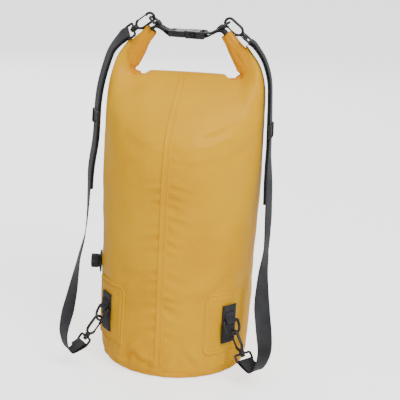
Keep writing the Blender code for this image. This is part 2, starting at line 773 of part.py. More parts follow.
def slider(side, line, mirrored):
    """The adjusting buckle: its middle bar lies between the two layers, its outer bars in front."""
    index = min(range(len(line)), key=lambda i: abs(line[i][0].z - SLIDER_HEIGHT))
    centre, width = line[index]
    along = (line[index + 1][0] - line[index - 1][0]).normalized()
    place = frame_matrix(centre, along, width)
    inside, outside = SLIDER_W[0] / 2, SLIDER_W[1] / 2
    front = -1 if direction(place, 0, 1, 0).dot(centre) < 0 else 1
    xs = (-outside, -inside, inside, outside)
    ys = [front * y for y in SLIDER_Y]
    bars = ((0, 2), (2, 0), (2, 4))
    bm = bmesh.new()
    blocks(bm, xs, ys, SLIDER_Z, lambda i, j, k: i != 1 or (j, k) in bars, place)
    make("slider_" + side, bm, plastic(), centre, mirrored)


# ---------------------------------------------------------------- closure buckle
def millimetres(values):
    return [value / 1000 for value in values]


def buckle():
    """Side-release buckle: the male half is towards -X, and its latch arms show in the side windows."""
    place = Matrix.Translation((0, 0, BUCKLE_Z))

    def female(i, j, k):
        edge_y = j in (0, 4)
        edge_z = k in (0, 4)
        if i in (0, 2):
            return edge_y or edge_z
        if i == 1:
            return edge_z
        if i == 3:
            return True
        if i == 4:
            return j != 2
        return k == 2 or j != 2

    bm = bmesh.new()
    blocks(bm, millimetres(FEMALE_X), millimetres(FEMALE_Y), millimetres(FEMALE_Z), female, place)
    soften(make("buckle_female", bm, plastic()))

    ends = (0, 4)

    def male_body(i, j, k):
        if i == 0:
            return j in ends or k == 1
        if i == 1:
            return j in ends
        if i == 2:
            return True
        return j == 2 and k == 1

    bm = bmesh.new()
    blocks(bm, millimetres(MALE_X), millimetres(MALE_Y), millimetres(MALE_Z), male_body, place)
    soften(make("buckle_male", bm, plastic()))
    for side, sign in (("front", -1), ("rear", 1)):
        bm = bmesh.new()
        ys = [sign * y for y in millimetres(ARM_Y)]
        blocks(bm, millimetres(ARM_X), ys, millimetres(ARM_Z), lambda i, j, k: i == 1 or j == 0, place)
        pivot_x, pivot_y = millimetres(ARM_PIVOT)
        make("latch_arm_" + side, bm, plastic(), (pivot_x, sign * pivot_y, BUCKLE_Z))


def soften(thing):
    bevel = thing.modifiers.new("edges", "BEVEL")
    bevel.width = 0.0006
    bevel.segments = 1
    bevel.limit_method = "ANGLE"
    bevel.angle_limit = math.radians(60)


def upper_anchor(side, mirrored):
    """The webbing between an ear and the buckle, with the small ring that the upper hook holds."""
    y_axis = Vector((0, 1, 0))
    line = [Vector((x / 1000, 0, z / 1000)) for x, z in TAB_ROUTE]
    line.append(Vector((TAB_BAR_X[side], 0, BUCKLE_Z)))
    line = [point for point, width in smooth_route(line, [y_axis] * len(line))]
    upper, lower = [], []
    for point, tangent in zip(line, tangents(line)):
        normal = tangent.cross(y_axis)
        nearest = (point - line[-1]).length
        half = TAB_HALF_GAP + (TAB_BAR_REACH - TAB_HALF_GAP) * max(1 - nearest / TAB_SPREAD, 0.0)
        upper.append(point + normal * half)
        lower.append(point - normal * half)
    if upper[-1].z < lower[-1].z:
        upper, lower = lower, upper
    on = (line[-1] - line[-2]).normalized()
    start = (lower[-1] - line[-1]).normalized()
    path = lower + half_turn(line[-1], start, on, TAB_BAR_REACH) + list(reversed(upper))
    bm = bmesh.new()
    ribbon(bm, path, [y_axis] * len(path), WEB_W)
    make("buckle_tab_" + side, bm, webbing(), mirrored=mirrored)
    bm = bmesh.new()
    path = keeper_path(UPPER_BAR, Vector((0, 0, 1)), Vector((-1, 0, 0)), UPPER_KEEPER_REACH)
    ribbon(bm, path, [y_axis] * len(path), KEEPER_W)
    make("upper_loop_" + side, bm, webbing(), mirrored=mirrored)
    bm = bmesh.new()
    hang = Vector((math.cos(UPPER_RING_TILT), 0, math.sin(UPPER_RING_TILT)))
    ring_wire(bm, UPPER_BAR, y_axis, hang, UPPER_RING_DROP)
    make("upper_ring_" + side, bm, plastic(), UPPER_BAR, mirrored)


# ---------------------------------------------------------------- air valve
def valve():
    out = outward(VALVE_AZ)
    zero = Vector((0, 0, VALVE_Z))
    bm = bmesh.new()
    turned_ring(bm, FLANGE_PROFILE, zero, out, 24)
    make("valve_flange", bm, plastic())
    bm = bmesh.new()
    turned_ring(bm, GASKET_PROFILE, zero, out, 24)
    make("valve_gasket", bm, rubber())
    bm = bmesh.new()
    turned_solid(bm, [(STEM_R, end) for end in STEM_ENDS], zero, out, 16)
    make("valve_stem", bm, plastic(), zero + out * STEM_ENDS[1])
    bm = bmesh.new()
    loops = turned(bm, CAP_PROFILE, zero, out, 4 * CAP_RIBS)
    bm.faces.new(reversed(loops[0]))
    bm.faces.new(loops[-1])
    for loop in loops[2:4]:
        for vert in loop[::4] + loop[1::4]:
            spoke = vert.co - zero
            spoke -= out * spoke.dot(out)
            vert.co -= spoke.normalized() * CAP_RIB_DEPTH
    make("valve_cap", bm, plastic(), zero + out * CAP_SEAT)


def main():
    for thing in list(bpy.data.objects):
        bpy.data.objects.remove(thing, do_unlink=True)
    bag_body()
    bag_base()
    back_seam_strip()
    roll_closure()
    mouth_stiffener()
    buckle()
    valve()
    for side, mirrored, route in (("left", True, LEFT_ROUTE), ("right", False, RIGHT_ROUTE)):
        lower_anchor(side, mirrored)
        upper_anchor(side, mirrored)
        low = lower_hook_frame()
        low_bar = frame_matrix(low.translation, direction(low, 0, 0, 1), outward(ANCHOR_AZ + 90))
        snap_hook("lower_" + side, low, 1, mirrored)
        hook_base("lower_" + side, low_bar, mirrored)
        high = upper_hook_frame()
        turn = math.radians(UPPER_BAR_TURN[side])
        across = direction(high, math.cos(turn), math.sin(turn), 0)
        high_bar = frame_matrix(high.translation, direction(high, 0, 0, 1), across)
        snap_hook("upper_" + side, high, UPPER_GATE_SIDE[side], mirrored)
        hook_base("upper_" + side, high_bar, mirrored)
        strap(side, route, low_bar, high_bar, mirrored)


main()
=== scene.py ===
"""Looks for the roll-top dry bag: coated fabric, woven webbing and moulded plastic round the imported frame.

Metres, +Z up, in the frame's own coordinates. Azimuths are in degrees from -Y, positive towards +X.
Pieces of the left side are worked out in right-hand coordinates and mirrored in X.
Tables of lengths are written in tenths of a millimetre.
"""
import json
import math

import bmesh
import bpy
from mathutils import Matrix, Vector, noise


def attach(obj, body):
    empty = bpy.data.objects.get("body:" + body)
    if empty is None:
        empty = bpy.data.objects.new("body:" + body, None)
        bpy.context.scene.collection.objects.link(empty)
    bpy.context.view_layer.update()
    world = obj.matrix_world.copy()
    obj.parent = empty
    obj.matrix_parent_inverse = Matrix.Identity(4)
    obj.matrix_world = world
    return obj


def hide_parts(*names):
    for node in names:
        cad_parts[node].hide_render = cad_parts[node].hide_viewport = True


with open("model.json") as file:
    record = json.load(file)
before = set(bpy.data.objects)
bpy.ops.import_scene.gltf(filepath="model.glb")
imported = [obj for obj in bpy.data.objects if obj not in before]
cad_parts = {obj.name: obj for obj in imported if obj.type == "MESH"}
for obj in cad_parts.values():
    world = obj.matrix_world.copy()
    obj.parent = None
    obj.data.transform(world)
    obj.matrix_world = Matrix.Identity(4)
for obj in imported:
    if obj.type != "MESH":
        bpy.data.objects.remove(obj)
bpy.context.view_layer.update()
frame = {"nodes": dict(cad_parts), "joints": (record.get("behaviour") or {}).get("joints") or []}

JOINTS = {joint["name"]: joint for joint in frame["joints"]}
SIDES = ("left", "right")
Y_AXIS = Vector((0, 1, 0))
Z_AXIS = Vector((0, 0, 1))


def metres(rows, *keep):
    """A table's tenths of a millimetre as metres; the columns named in keep are no lengths."""
    return [[value if k in keep else value / 10000 for k, value in enumerate(row)] for row in rows]


def add_object(name, data):
    thing = bpy.data.objects.new(name, data)
    bpy.context.scene.collection.objects.link(thing)
    return thing


# ---- camera
CAMERA_AZ = 9.5
CAMERA_DISTANCE = 1.60      # from the bag's axis, level
CAMERA_HEIGHT = 0.68
CAMERA_AIM = 0.2401         # height on the axis that it points to
CAMERA_ASIDE = 0.0281       # how far to the right of the axis that point is
CAMERA_ROLL = math.radians(3.0)
CAMERA_LENS = 100.93


def outward(azimuth):
    """The horizontal unit vector that points away from the bag's axis at an azimuth."""
    angle = math.radians(azimuth)
    return Vector((math.sin(angle), -math.cos(angle), 0.0))


def polar(radius, azimuth, height):
    return outward(azimuth) * radius + Vector((0, 0, height))


def camera():
    data = bpy.data.cameras.new("camera")
    data.lens = CAMERA_LENS
    data.sensor_width = 36.0
    data.clip_start = 0.05
    thing = add_object("camera", data)
    place = polar(CAMERA_DISTANCE, CAMERA_AZ, CAMERA_HEIGHT)
    aim = outward(CAMERA_AZ + 90) * CAMERA_ASIDE + Vector((0, 0, CAMERA_AIM))
    look = (aim - place).to_track_quat("-Z", "Y").to_matrix().to_4x4()
    thing.matrix_world = Matrix.Translation(place) @ look @ Matrix.Rotation(CAMERA_ROLL, 4, "Z")
    bpy.context.scene.camera = thing


camera()

# ---- bag: sizes
WEB_W = 0.025
WEB_T = 0.0014
FABRIC_T = 0.0008
BAG_R = 0.115               # turns a distance round the bag into an azimuth
COLUMNS = 232               # round the bag
ROW_STEP = 0.0032
SEAM_AZ = -2.0
SEAM_W = 0.0115
ANCHOR_AZ = 51.0
PATCH_W = 0.080
PATCH_Z = (0.040, 0.130)
PATCH_CORNER = 0.012
VALVE_AZ = -80.0
VALVE_Z = 0.139

# The bag from its base weld up to the fold, by the length of fabric from the ground:
# (length, front depth, front height, half width, side's pull inwards, side height, rear depth, rear height,
#  squareness of the ring, where along the half width the shoulder starts to rise)
SHELL = metres((
    (80, 1095, 80, 1065, 0, 80, 1095, 80, 1, 0.45),
    (140, 1130, 140, 1098, 0, 140, 1130, 140, 1, 0.45),
    (300, 1146, 300, 1114, 0, 300, 1146, 300, 1, 0.45),
    (1100, 1149, 1100, 1126, 0, 1100, 1149, 1100, 1, 0.45),
    (2000, 1150, 2000, 1137, 0, 2000, 1150, 2000, 1, 0.45),
    (2700, 1150, 2700, 1148, 0, 2700, 1150, 2700, 1, 0.45),
    (3000, 1146, 3000, 1152, 0, 3003, 1146, 3000, 1, 0.45),
    (3300, 1100, 3300, 1155, 0, 3320, 1100, 3300, 1, 0.45),
    (3570, 990, 3545, 1155, 0, 3600, 990, 3530, 0.92, 0.46),
    (3820, 840, 3745, 1150, 0, 3860, 820, 3720, 0.8, 0.48),
    (4090, 640, 3925, 1130, 0, 4100, 600, 3880, 0.66, 0.52),
    (4370, 420, 4090, 1100, 10, 4320, 380, 3970, 0.5, 0.58),
    (4590, 235, 4210, 1060, 40, 4500, 180, 4015, 0.38, 0.65),
    (4715, 135, 4278, 1010, 100, 4640, 135, 4030, 0.32, 0.71),
    (4750, 118, 4296, 980, 150, 4740, 125, 4035, 0.3, 0.75),
), 8, 9)
FOLD_LENGTH = SHELL[-1][0]
FOLD_SAG = 0.0060           # how far the rolled edge hangs lower than the stiff one of the CAD
FOLD_SLOPE = 0.020          # and how much of that is lost with each metre towards +X
ROLL_Z = 0.4165
ROLL_FLAT = 0.064
ROLL_BEND_R = 0.0215
ROLL_TURN = math.radians(127)
EAR_LENGTH = 0.045
WRAP_ROWS = 14
WRAP_ANGLE = math.radians(205)
WRAP_END_ANGLE = math.radians(20)
WRAP_X = (0.052, 0.066)     # right round the roll inside the first, and only to its top past the second
WRAP_DEPTH_R = 0.0116
WRAP_HEIGHT_R = 0.0140


# ---- making objects
def link(name, mesh, look, smooth=180):
    mesh.materials.append(look)
    mesh.shade_smooth()
    if smooth < 180:
        mesh.set_sharp_from_angle(angle=math.radians(smooth))
    return add_object(name, mesh)


def enter(thing, body, nodes):
    """A piece rides on a body and stands for CAD nodes."""
    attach(thing, body)
    if nodes:
        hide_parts(*nodes)


def make(name, bm, look, body, nodes, mirrored=False, smooth=180):
    """A bmesh in world coordinates becomes a piece."""
    if mirrored:
        bmesh.ops.scale(bm, vec=(-1, 1, 1), verts=bm.verts)
    bmesh.ops.recalc_face_normals(bm, faces=bm.faces)
    mesh = bpy.data.meshes.new(name)
    bm.to_mesh(mesh)
    bm.free()
    thing = link(name, mesh, look, smooth)
    enter(thing, body, nodes)
    return thing


def moulding(name, bm, body, node, mirrored=False, smooth=50):
    make(name, bm, PLASTIC, body, [node], mirrored, smooth)


def settle(thing):
    """Apply a piece's modifiers to its mesh."""
    bpy.context.view_layer.update()
    depsgraph = bpy.context.evaluated_depsgraph_get()
    mesh = bpy.data.meshes.new_from_object(thing.evaluated_get(depsgraph), depsgraph=depsgraph)
    thing.modifiers.clear()
    thing.data = mesh


# ---- materials
def node_tree(name):
    material = bpy.data.materials.new(name)
    material.use_nodes = True
    return material, material.node_tree, material.node_tree.nodes["Principled BSDF"]


def put(node, **values):
    """Constants on a node's sockets, with _ for each space in their names."""
    for key, value in values.items():
        node.inputs[key.replace("_", " ")].default_value = value
    return node


def wire(source, node, socket):
    node.id_data.links.new(source, node.inputs[socket])


def ramp(tree, source, *stops):
    """A colour ramp over a value, from (position, colour) stops."""
    node = tree.nodes.new("ShaderNodeValToRGB")
    elements = node.color_ramp.elements
    for index, (position, colour) in ((0, stops[0]), (1, stops[-1])):
        elements[index].position = position
        elements[index].color = (*colour, 1)
    for position, colour in stops[1:-1]:
        elements.new(position).color = (*colour, 1)
    wire(source, node, "Fac")
    return node.outputs["Color"]


def remap(tree, source, low, high):
    node = put(tree.nodes.new("ShaderNodeMapRange"), To_Min=low, To_Max=high)
    wire(source, node, "Value")
    return node.outputs["Result"]


def maths(tree, first, second=0.0, operation="MULTIPLY"):
    node = tree.nodes.new("ShaderNodeMath")
    node.operation = operation
    wire(first, node, 0)
    if isinstance(second, float):
        node.inputs[1].default_value = second
    else:
        wire(second, node, 1)
    return node.outputs[0]


def speckle(tree, scale, detail, roughness):
    """Noise over the piece's own coordinates."""
    node = put(tree.nodes.new("ShaderNodeTexNoise"), Scale=scale, Detail=detail, Roughness=roughness)
    wire(tree.nodes.new("ShaderNodeTexCoord").outputs["Object"], node, "Vector")
    return node.outputs["Fac"]


def bumps(tree, shader, *layers):
    """Bump maps one on another: (height, strength, distance)."""
    normal = None
    for height, strength, distance in layers:
        bump = put(tree.nodes.new("ShaderNodeBump"), Strength=strength, Distance=distance)
        wire(height, bump, "Height")
        if normal:
            wire(normal, bump, "Normal")
        normal = bump.outputs["Normal"]
    wire(normal, shader, "Normal")


def coated_fabric(name, light, middle, dark):
    """Yellow coated cloth: a satin skin that shows the weave under it, with uneven tone."""
    material, tree, shader = node_tree(name)
    broad = speckle(tree, 9.0, 3.0, 0.5)
    fine = speckle(tree, 220.0, 4.0, 0.65)
    grain = speckle(tree, 1500.0, 2.0, 0.5)
    tone = maths(tree, maths(tree, broad, 0.75), maths(tree, fine, 0.25), "ADD")
    wire(ramp(tree, tone, (0.34, dark), (0.5, middle), (0.68, light)), shader, "Base Color")
    wire(remap(tree, fine, 0.34, 0.52), shader, "Roughness")
    put(shader, Specular_IOR_Level=0.14, Subsurface_Weight=0.03, Subsurface_Scale=0.004,
        Subsurface_Radius=(1.0, 0.45, 0.08))
    bumps(tree, shader, (fine, 0.12, 0.0006), (grain, 0.10, 0.0002))
    return material


def woven(name, light, dark):
    """Webbing, woven along the U and V of its strip, both in metres."""
    material, tree, shader = node_tree(name)
    uv = tree.nodes.new("ShaderNodeUVMap")
    uv.uv_map = "strip"
    split = tree.nodes.new("ShaderNodeSeparateXYZ")
    wire(uv.outputs["UV"], split, "Vector")
    waves = [maths(tree, maths(tree, split.outputs[axis], 2 * math.pi / pitch), operation="SINE")
             for axis, pitch in (("X", 0.0021), ("Y", 0.0016))]
    weave = remap(tree, maths(tree, *waves), 0.5, 1.0)
    speck = speckle(tree, 650.0, 3.0, 0.7)
    tone = maths(tree, speck, maths(tree, speckle(tree, 28.0, 2.0, 0.5), 1.6))
    wire(ramp(tree, tone, (0.25, dark), (0.62, light)), shader, "Base Color")
    wire(remap(tree, speck, 0.6, 0.85), shader, "Roughness")
    put(shader, Sheen_Weight=0.20, Sheen_Roughness=0.4, Sheen_Tint=(0.75, 0.78, 0.86, 1))
    bumps(tree, shader, (weave, 0.5, 0.0004), (speck, 0.25, 0.0003))
    return material


def moulded(name, light, dark, gloss):
    """Black plastic from a lightly textured mould, worn a little paler in places."""
    material, tree, shader = node_tree(name)
    wear = speckle(tree, 60.0, 5.0, 0.6)
    wire(ramp(tree, wear, (0.42, dark), (0.72, light)), shader, "Base Color")
    wire(remap(tree, wear, gloss - 0.08, gloss + 0.14), shader, "Roughness")
    bumps(tree, shader, (speckle(tree, 380.0, 4.0, 0.6), 0.15, 0.0003))
    return material


YELLOW = coated_fabric("yellow_coated_fabric", (0.97, 0.51, 0.001), (0.93, 0.46, 0.0), (0.84, 0.39, 0.0))
PATCH_YELLOW = coated_fabric("patch_fabric", (0.97, 0.51, 0.001), (0.92, 0.46, 0.0), (0.83, 0.38, 0.0))
# The roll's cloth is the body's own fabric, painted darker and more orange: painted shade for its rolled
# folds and ears.
ROLL_SHADED_YELLOW = coated_fabric("roll_fabric", (0.96, 0.47, 0.001), (0.90, 0.40, 0.0), (0.78, 0.30, 0.0))
WEBBING = woven("black_webbing", (0.036, 0.037, 0.042), (0.008, 0.008, 0.010))
THREAD = woven("black_thread", (0.075, 0.08, 0.095), (0.03, 0.032, 0.04))
PLASTIC = moulded("black_plastic", (0.034, 0.036, 0.042), (0.012, 0.0125, 0.015), 0.34)
RUBBER = moulded("black_rubber", (0.022, 0.022, 0.022), (0.014, 0.014, 0.014), 0.62)


# ---- shapes
def smooth_step(value, low, high):
    part = min(max((value - low) / (high - low), 0.0), 1.0)
    return part * part * (3 - 2 * part)


def ripple(x, y, z):
    return noise.noise(Vector((x, y, z)))


def catmull(values, position):
    """A smooth value between equally weighted entries at a fractional index."""
    last = len(values) - 1
    i = min(int(position), last - 1)
    t = position - i
    p0, p1, p2, p3 = values[max(i - 1, 0)], values[i], values[i + 1], values[min(i + 2, last)]
    return 0.5 * (2 * p1 + (p2 - p0) * t + (2 * p0 - 5 * p1 + 4 * p2 - p3) * t ** 2
                  + (3 * p1 - 3 * p2 + p3 - p0) * t ** 3)


def add_loop(bm, centre, across, up, profile):
    """A loop of vertices round a profile in the plane of across and up."""
    return [bm.verts.new(centre + across * u + up * v) for u, v in profile]


def join_loops(bm, first, second, closed=True):
    """Faces between two loops or rows of vertices."""
    count = len(first)
    return [bm.faces.new((first[i], first[(i + 1) % count], second[(i + 1) % count], second[i]))
            for i in range(count if closed else count - 1)]


def grid_faces(bm, rows, closed=False):
    for first, second in zip(rows, rows[1:]):
        join_loops(bm, first, second, closed)


def skin(bm, loops, closed=False):
    """Join loops one to the next, and close the tube or cap its two ends."""
    grid_faces(bm, loops, closed=True)
    if closed:
        join_loops(bm, loops[-1], loops[0])
    else:
        bm.faces.new(reversed(loops[0]))
        bm.faces.new(loops[-1])


def sheet(bm, place, columns, rows):
    """A surface over a grid, from a function of column and row."""
    grid_faces(bm, [[bm.verts.new(place(i, k)) for i in range(columns)] for k in range(rows)])


def section(sides, power):
    """Round a superellipse: the angle, its cosine and sine, and the reach, for each side."""
    spokes = []
    for i in range(sides):
        angle = 2 * math.pi * (i + 0.5) / sides
        cos, sin = math.cos(angle), math.sin(angle)
        spokes.append((angle, cos, sin, (abs(cos) ** power + abs(sin) ** power) ** (-1 / power)))
    return spokes


def rounded(half_w, half_h, sides=16, power=2.6):
    """A rounded rectangle."""
    return [(half_w * size * cos, half_h * size * sin) for _, cos, sin, size in section(sides, power)]


def tangents(points, closed=False):
    count = len(points)
    result = []
    for i in range(count):
        before = points[i - 1] if closed or i > 0 else points[i]
        after = points[(i + 1) % count] if closed or i < count - 1 else points[i]
        result.append((after - before).normalized())
    return result


def smooth_points(points, steps):
    """A Catmull-Rom curve through points."""
    return [catmull(points, i / steps) for i in range((len(points) - 1) * steps + 1)]


def arc(centre, radius, start, end, steps):
    """Points of an arc in a local X and Z plane, angles in degrees from +X towards +Z."""
    angles = [math.radians(start + (end - start) * i / steps) for i in range(steps + 1)]
    return [(centre[0] + radius * math.cos(angle), centre[1] + radius * math.sin(angle)) for angle in angles]


def turned(bm, profile, centre, axis, segments, closed=False):
    """A turned solid: the profile is (distance from the axis, height) from end to end."""
    axis = Vector(axis).normalized()
    across = axis.orthogonal().normalized()
    side = axis.cross(across)
    angles = [2 * math.pi * i / segments for i in range(segments)]
    spokes = [across * math.cos(angle) + side * math.sin(angle) for angle in angles]
    loops = [[bm.verts.new(Vector(centre) + axis * height + spoke * radius) for spoke in spokes]
             for radius, height in profile]
    skin(bm, loops, closed)
    return loops


def bar_through(bm, points, normal, half_across, half_normal, closed=False, ends=0.6):
    """A moulded bar of rounded section along points in a plane; open ends are rounded off."""
    loops = []
    directions = tangents(points, closed)
    for point, tangent in zip(points, directions):
        across = tangent.cross(normal).normalized()
        loops.append(add_loop(bm, point, across, normal, rounded(half_across, half_normal)))
    for index, sign in () if closed else ((0, -1), (-1, 1)):
        across = directions[index].cross(normal).normalized()
        caps = []
        for part in (0.5, 0.85):
            size = math.sqrt(1 - part ** 2)
            centre = points[index] + directions[index] * sign * half_across * part * ends
            profile = rounded(half_across * size, half_normal * size)
            caps.append(add_loop(bm, centre, across, normal, profile))
        loops = caps[::-1] + loops if sign < 0 else loops + caps
    skin(bm, loops, closed)


# ---- bag: its surface
# Creases and dents in the fabric: azimuth, height, tilt in degrees from level, length, width, depth
CREASES = metres((
    (33, 3600, 24, 340, 55, 16), (24, 3450, 8, 300, 60, -12), (40, 3420, -14, 400, 75, 13),
    (20, 3180, 6, 200, 40, 9), (52, 3300, 20, 450, 90, 12), (-22, 3350, -16, 450, 80, 10),
    (-40, 3050, 12, 500, 90, 9), (28, 2300, 4, 600, 100, 8), (-30, 1500, -6, 500, 80, 9),
    (20, 1230, 14, 600, 90, 11), (34, 1250, 40, 600, 80, 10), (70, 1400, -20, 600, 100, 10),
    (-18, 400, 32, 460, 50, 16), (-14, 250, -28, 400, 45, 26), (-27, 280, 40, 300, 42, 20),
    (4, 300, 60, 260, 45, 18), (22, 300, -50, 300, 50, 18), (150, 3400, 12, 500, 80, 15),
    (-140, 3300, -18, 550, 85, 15), (175, 2300, 5, 700, 100, 10), (-160, 900, 14, 600, 90, 12),
    (120, 1100, -16, 600, 90, 12), (-110, 2500, 8, 600, 100, 10),
), 0, 2)
BASE_FLAT_R = 0.060         # the base panel is flat and round inside this
BASE_NARROW = 0.975         # its width over its depth at the rim
PUCKER_STEP = 0.0165
PUCKER_REACH = 0.026
PUCKER_DEPTH = 0.0028
CREASE_GAIN = 1.6           # how many times deeper the creases are than in their table


def shell_values(length):
    """The shell's ring at a length of fabric from the ground."""
    index = 0
    while index < len(SHELL) - 2 and SHELL[index + 1][0] < length:
        index += 1
    span = SHELL[index + 1][0] - SHELL[index][0]
    position = index + (length - SHELL[index][0]) / span
    return [catmull([row[k] for row in SHELL], min(max(position, 0.0), len(SHELL) - 1.0))
            for k in range(1, len(SHELL[0]))]


def turn_between(azimuth, centre):
    return (azimuth - centre + 180) % 360 - 180


def way_round(azimuth, centre):
    """The distance round the bag from one azimuth to another, in metres."""
    return turn_between(azimuth, centre) * math.radians(1) * BAG_R


def relief(azimuth, length, height):
    """How far the fabric stands out from the smooth shell."""
    spot = polar(1.0, azimuth, 0.0)
    out = 0.0026 * ripple(spot.x * 1.7, spot.y * 1.7, height * 9.0)
    out += 0.0011 * ripple(spot.x * 5.0 + 7, spot.y * 5.0, height * 34.0)
    # puckers on both sides of the welded seam
    off = way_round(azimuth, SEAM_AZ)
    if abs(off) < 4 * PUCKER_REACH and height < 0.40:
        side = 1 if off > 0 else -1
        beat = length + 0.35 * abs(off) + 0.006 * ripple(3.0 * side, length * 40, 0)
        wave = math.sin(2 * math.pi * beat / PUCKER_STEP + 1.3 * side)
        wave *= 0.55 + 0.9 * ripple(5.0 * side, length * 31, 2.0)
        fade = smooth_step(height, 0.03, 0.08) * (1 - smooth_step(height, 0.28, 0.37))
        reach = PUCKER_REACH * (0.75 + 0.6 * abs(ripple(9.0 * side, length * 27, 5.0)))
        away = max(abs(off) - SEAM_W / 2, 0.0)
        near = smooth_step(abs(off), SEAM_W * 0.3, SEAM_W * 0.75)
        out += PUCKER_DEPTH * wave * fade * near * math.exp(-(away / reach) ** 2)
    # gathers above the base weld
    if height < 0.075:
        fade = (1 - smooth_step(height, 0.018, 0.070)) * smooth_step(height, 0.006, 0.020)
        gather = ripple(spot.x * 9.0, spot.y * 9.0, 3.0 + height * 14)
        out += 0.0050 * gather * fade - 0.0008 * fade
    # dents and creases
    for centre, level, tilt, long, wide, deep in CREASES:
        across = way_round(azimuth, centre)
        up = height - level
        if abs(across) > 2.2 * long or abs(up) > 2.2 * long:
            continue
        cos, sin = math.cos(math.radians(tilt)), math.sin(math.radians(tilt))
        along = across * cos + up * sin
        over = up * cos - across * sin
        bend = over - 2.2 * along ** 2
        line = math.exp(-(along / (long * 0.55)) ** 2)
        fold = math.exp(-(bend / wide) ** 2) - 0.75 * math.exp(-((bend - 1.5 * wide) / (1.1 * wide)) ** 2)
        out -= CREASE_GAIN * deep * line * fold
    # the fabric stands up round the valve
    near = (turn_between(azimuth, VALVE_AZ) * 0.002) ** 2 + (height - VALVE_Z) ** 2
    return out + 0.0012 * math.exp(-near / 0.024 ** 2)


def shell_smooth(azimuth, length):
    """A point of the smooth shell."""
    depth_f, high_f, half_w, inset, high_s, depth_r, high_r, square, start = shell_values(length)
    angle = math.radians(azimuth)
    sin, cos = math.sin(angle), math.cos(angle)
    depth, high = (depth_f, high_f) if cos > 0 else (depth_r, high_r)
    side = abs(sin)
    rise = max((side - start) / (1 - start), 0.0) ** 2.4
    pull = max((side - 0.80) / 0.20, 0.0) ** 1.6
    x = math.copysign(half_w * side - inset * pull, sin)
    y = -math.copysign(depth * abs(cos) ** square, cos)
    return Vector((x, y, high + (high_s - high) * rise))


def shell_normal(azimuth, length):
    step = 0.002
    round_bag = shell_smooth(azimuth + 0.9, length) - shell_smooth(azimuth - 0.9, length)
    top = min(length + step, FOLD_LENGTH)
    up = shell_smooth(azimuth, top) - shell_smooth(azimuth, max(length - step, SHELL[0][0]))
    return round_bag.cross(up).normalized()


def sagged(point):
    """The rolled edge sags under the hand hole, more on the left."""
    share = smooth_step(point.z, 0.350, 0.400) * (1 - smooth_step(point.z, 0.428, 0.472))
    return point - Vector((0, 0, (FOLD_SAG - FOLD_SLOPE * point.x) * share))


def sag(bm):
    for vert in bm.verts:
        vert.co = sagged(vert.co)


def shell_point(azimuth, length, lift=0.0):
    point = shell_smooth(azimuth, length)
    calm = 1 - smooth_step(length, FOLD_LENGTH - 0.030, FOLD_LENGTH)
    return point + shell_normal(azimuth, length) * (relief(azimuth, length, point.z) * calm + lift)


def bag_shell():
    """The tube of fabric from its base weld to the fold, and over the roll between the two ears."""
    bm = bmesh.new()
    count = int((FOLD_LENGTH - SHELL[0][0]) / ROW_STEP)
    azimuths = [360.0 * i / COLUMNS for i in range(COLUMNS)]
    rows = []
    for k in range(count + 1):
        length = SHELL[0][0] + (FOLD_LENGTH - SHELL[0][0]) * k / count
        rows.append([bm.verts.new(shell_point(azimuth, length)) for azimuth in azimuths])
    # the foot turns in under the base's rim, before the first row
    foot = [bm.verts.new(vert.co * 0.985 + Vector((0, 0, -0.0016))) for vert in rows[0]]
    rows.insert(0, foot)
    edge = [vert.co.copy() for vert in rows[-1]]
    for k in range(1, WRAP_ROWS + 1):
        row = []
        for azimuth, start in zip(azimuths, edge):
            if math.cos(math.radians(azimuth)) <= 0:
                row.append(bm.verts.new(start + Vector((0, -0.0002 * k, -0.0003 * k))))
                continue
            reach = 1 - smooth_step(abs(start.x), *WRAP_X)
            depth, height = -start.y, start.z - ROLL_Z
            angle = math.atan2(height / WRAP_HEIGHT_R, depth / WRAP_DEPTH_R)
            size = math.hypot(height / WRAP_HEIGHT_R, depth / WRAP_DEPTH_R)
            angle += (WRAP_ANGLE * reach + WRAP_END_ANGLE * (1 - reach)) * k / WRAP_ROWS
            wrapped = Vector((start.x, -WRAP_DEPTH_R * size * math.cos(angle),
                              ROLL_Z + WRAP_HEIGHT_R * size * math.sin(angle)))
            tucked = start + Vector((0, 0.00035 * k, -0.0001 * k))
            row.append(bm.verts.new(tucked.lerp(wrapped, reach)))
        rows.append(row)
    grid_faces(bm, rows, closed=True)
    sag(bm)
    thing = make("bag_fabric", bm, YELLOW, "root", ["bag_body"])
    thick = thing.modifiers.new("thickness", "SOLIDIFY")
    thick.thickness = FABRIC_T
    thick.offset = -1
    settle(thing)


def base_panel():
    """The round base, turned up inside the body's foot, with its weld round the rim."""
    profile = metres((
        (5, 16), (300, 10), (700, 3), (985, 0), (1035, 3), (1062, 13), (1083, 32), (1096, 56), (1100, 80),
        (1096, 102), (1080, 110), (1064, 96), (1050, 60), (1000, 30), (500, 34), (5, 40),
    ))
    bm = bmesh.new()
    turned(bm, smooth_profile(profile, 3), (0, 0, 0), Z_AXIS, 192)
    for vert in bm.verts:
        radius = math.hypot(vert.co.x, vert.co.y)
        if radius >= BASE_FLAT_R:
            gather = ripple(vert.co.x * 75, vert.co.y * 75, 4.0)
            size = 1 + (0.0016 * gather * smooth_step(radius, 0.10, 0.109)) / radius
            vert.co.x *= size * BASE_NARROW
            vert.co.y *= size
    make("base_panel", bm, YELLOW, "root", ["bag_base"])


def smooth_profile(profile, steps):
    points = smooth_points([Vector((radius, height, 0)) for radius, height in profile], steps)
    return [(max(point.x, 0.0002), point.y) for point in points]


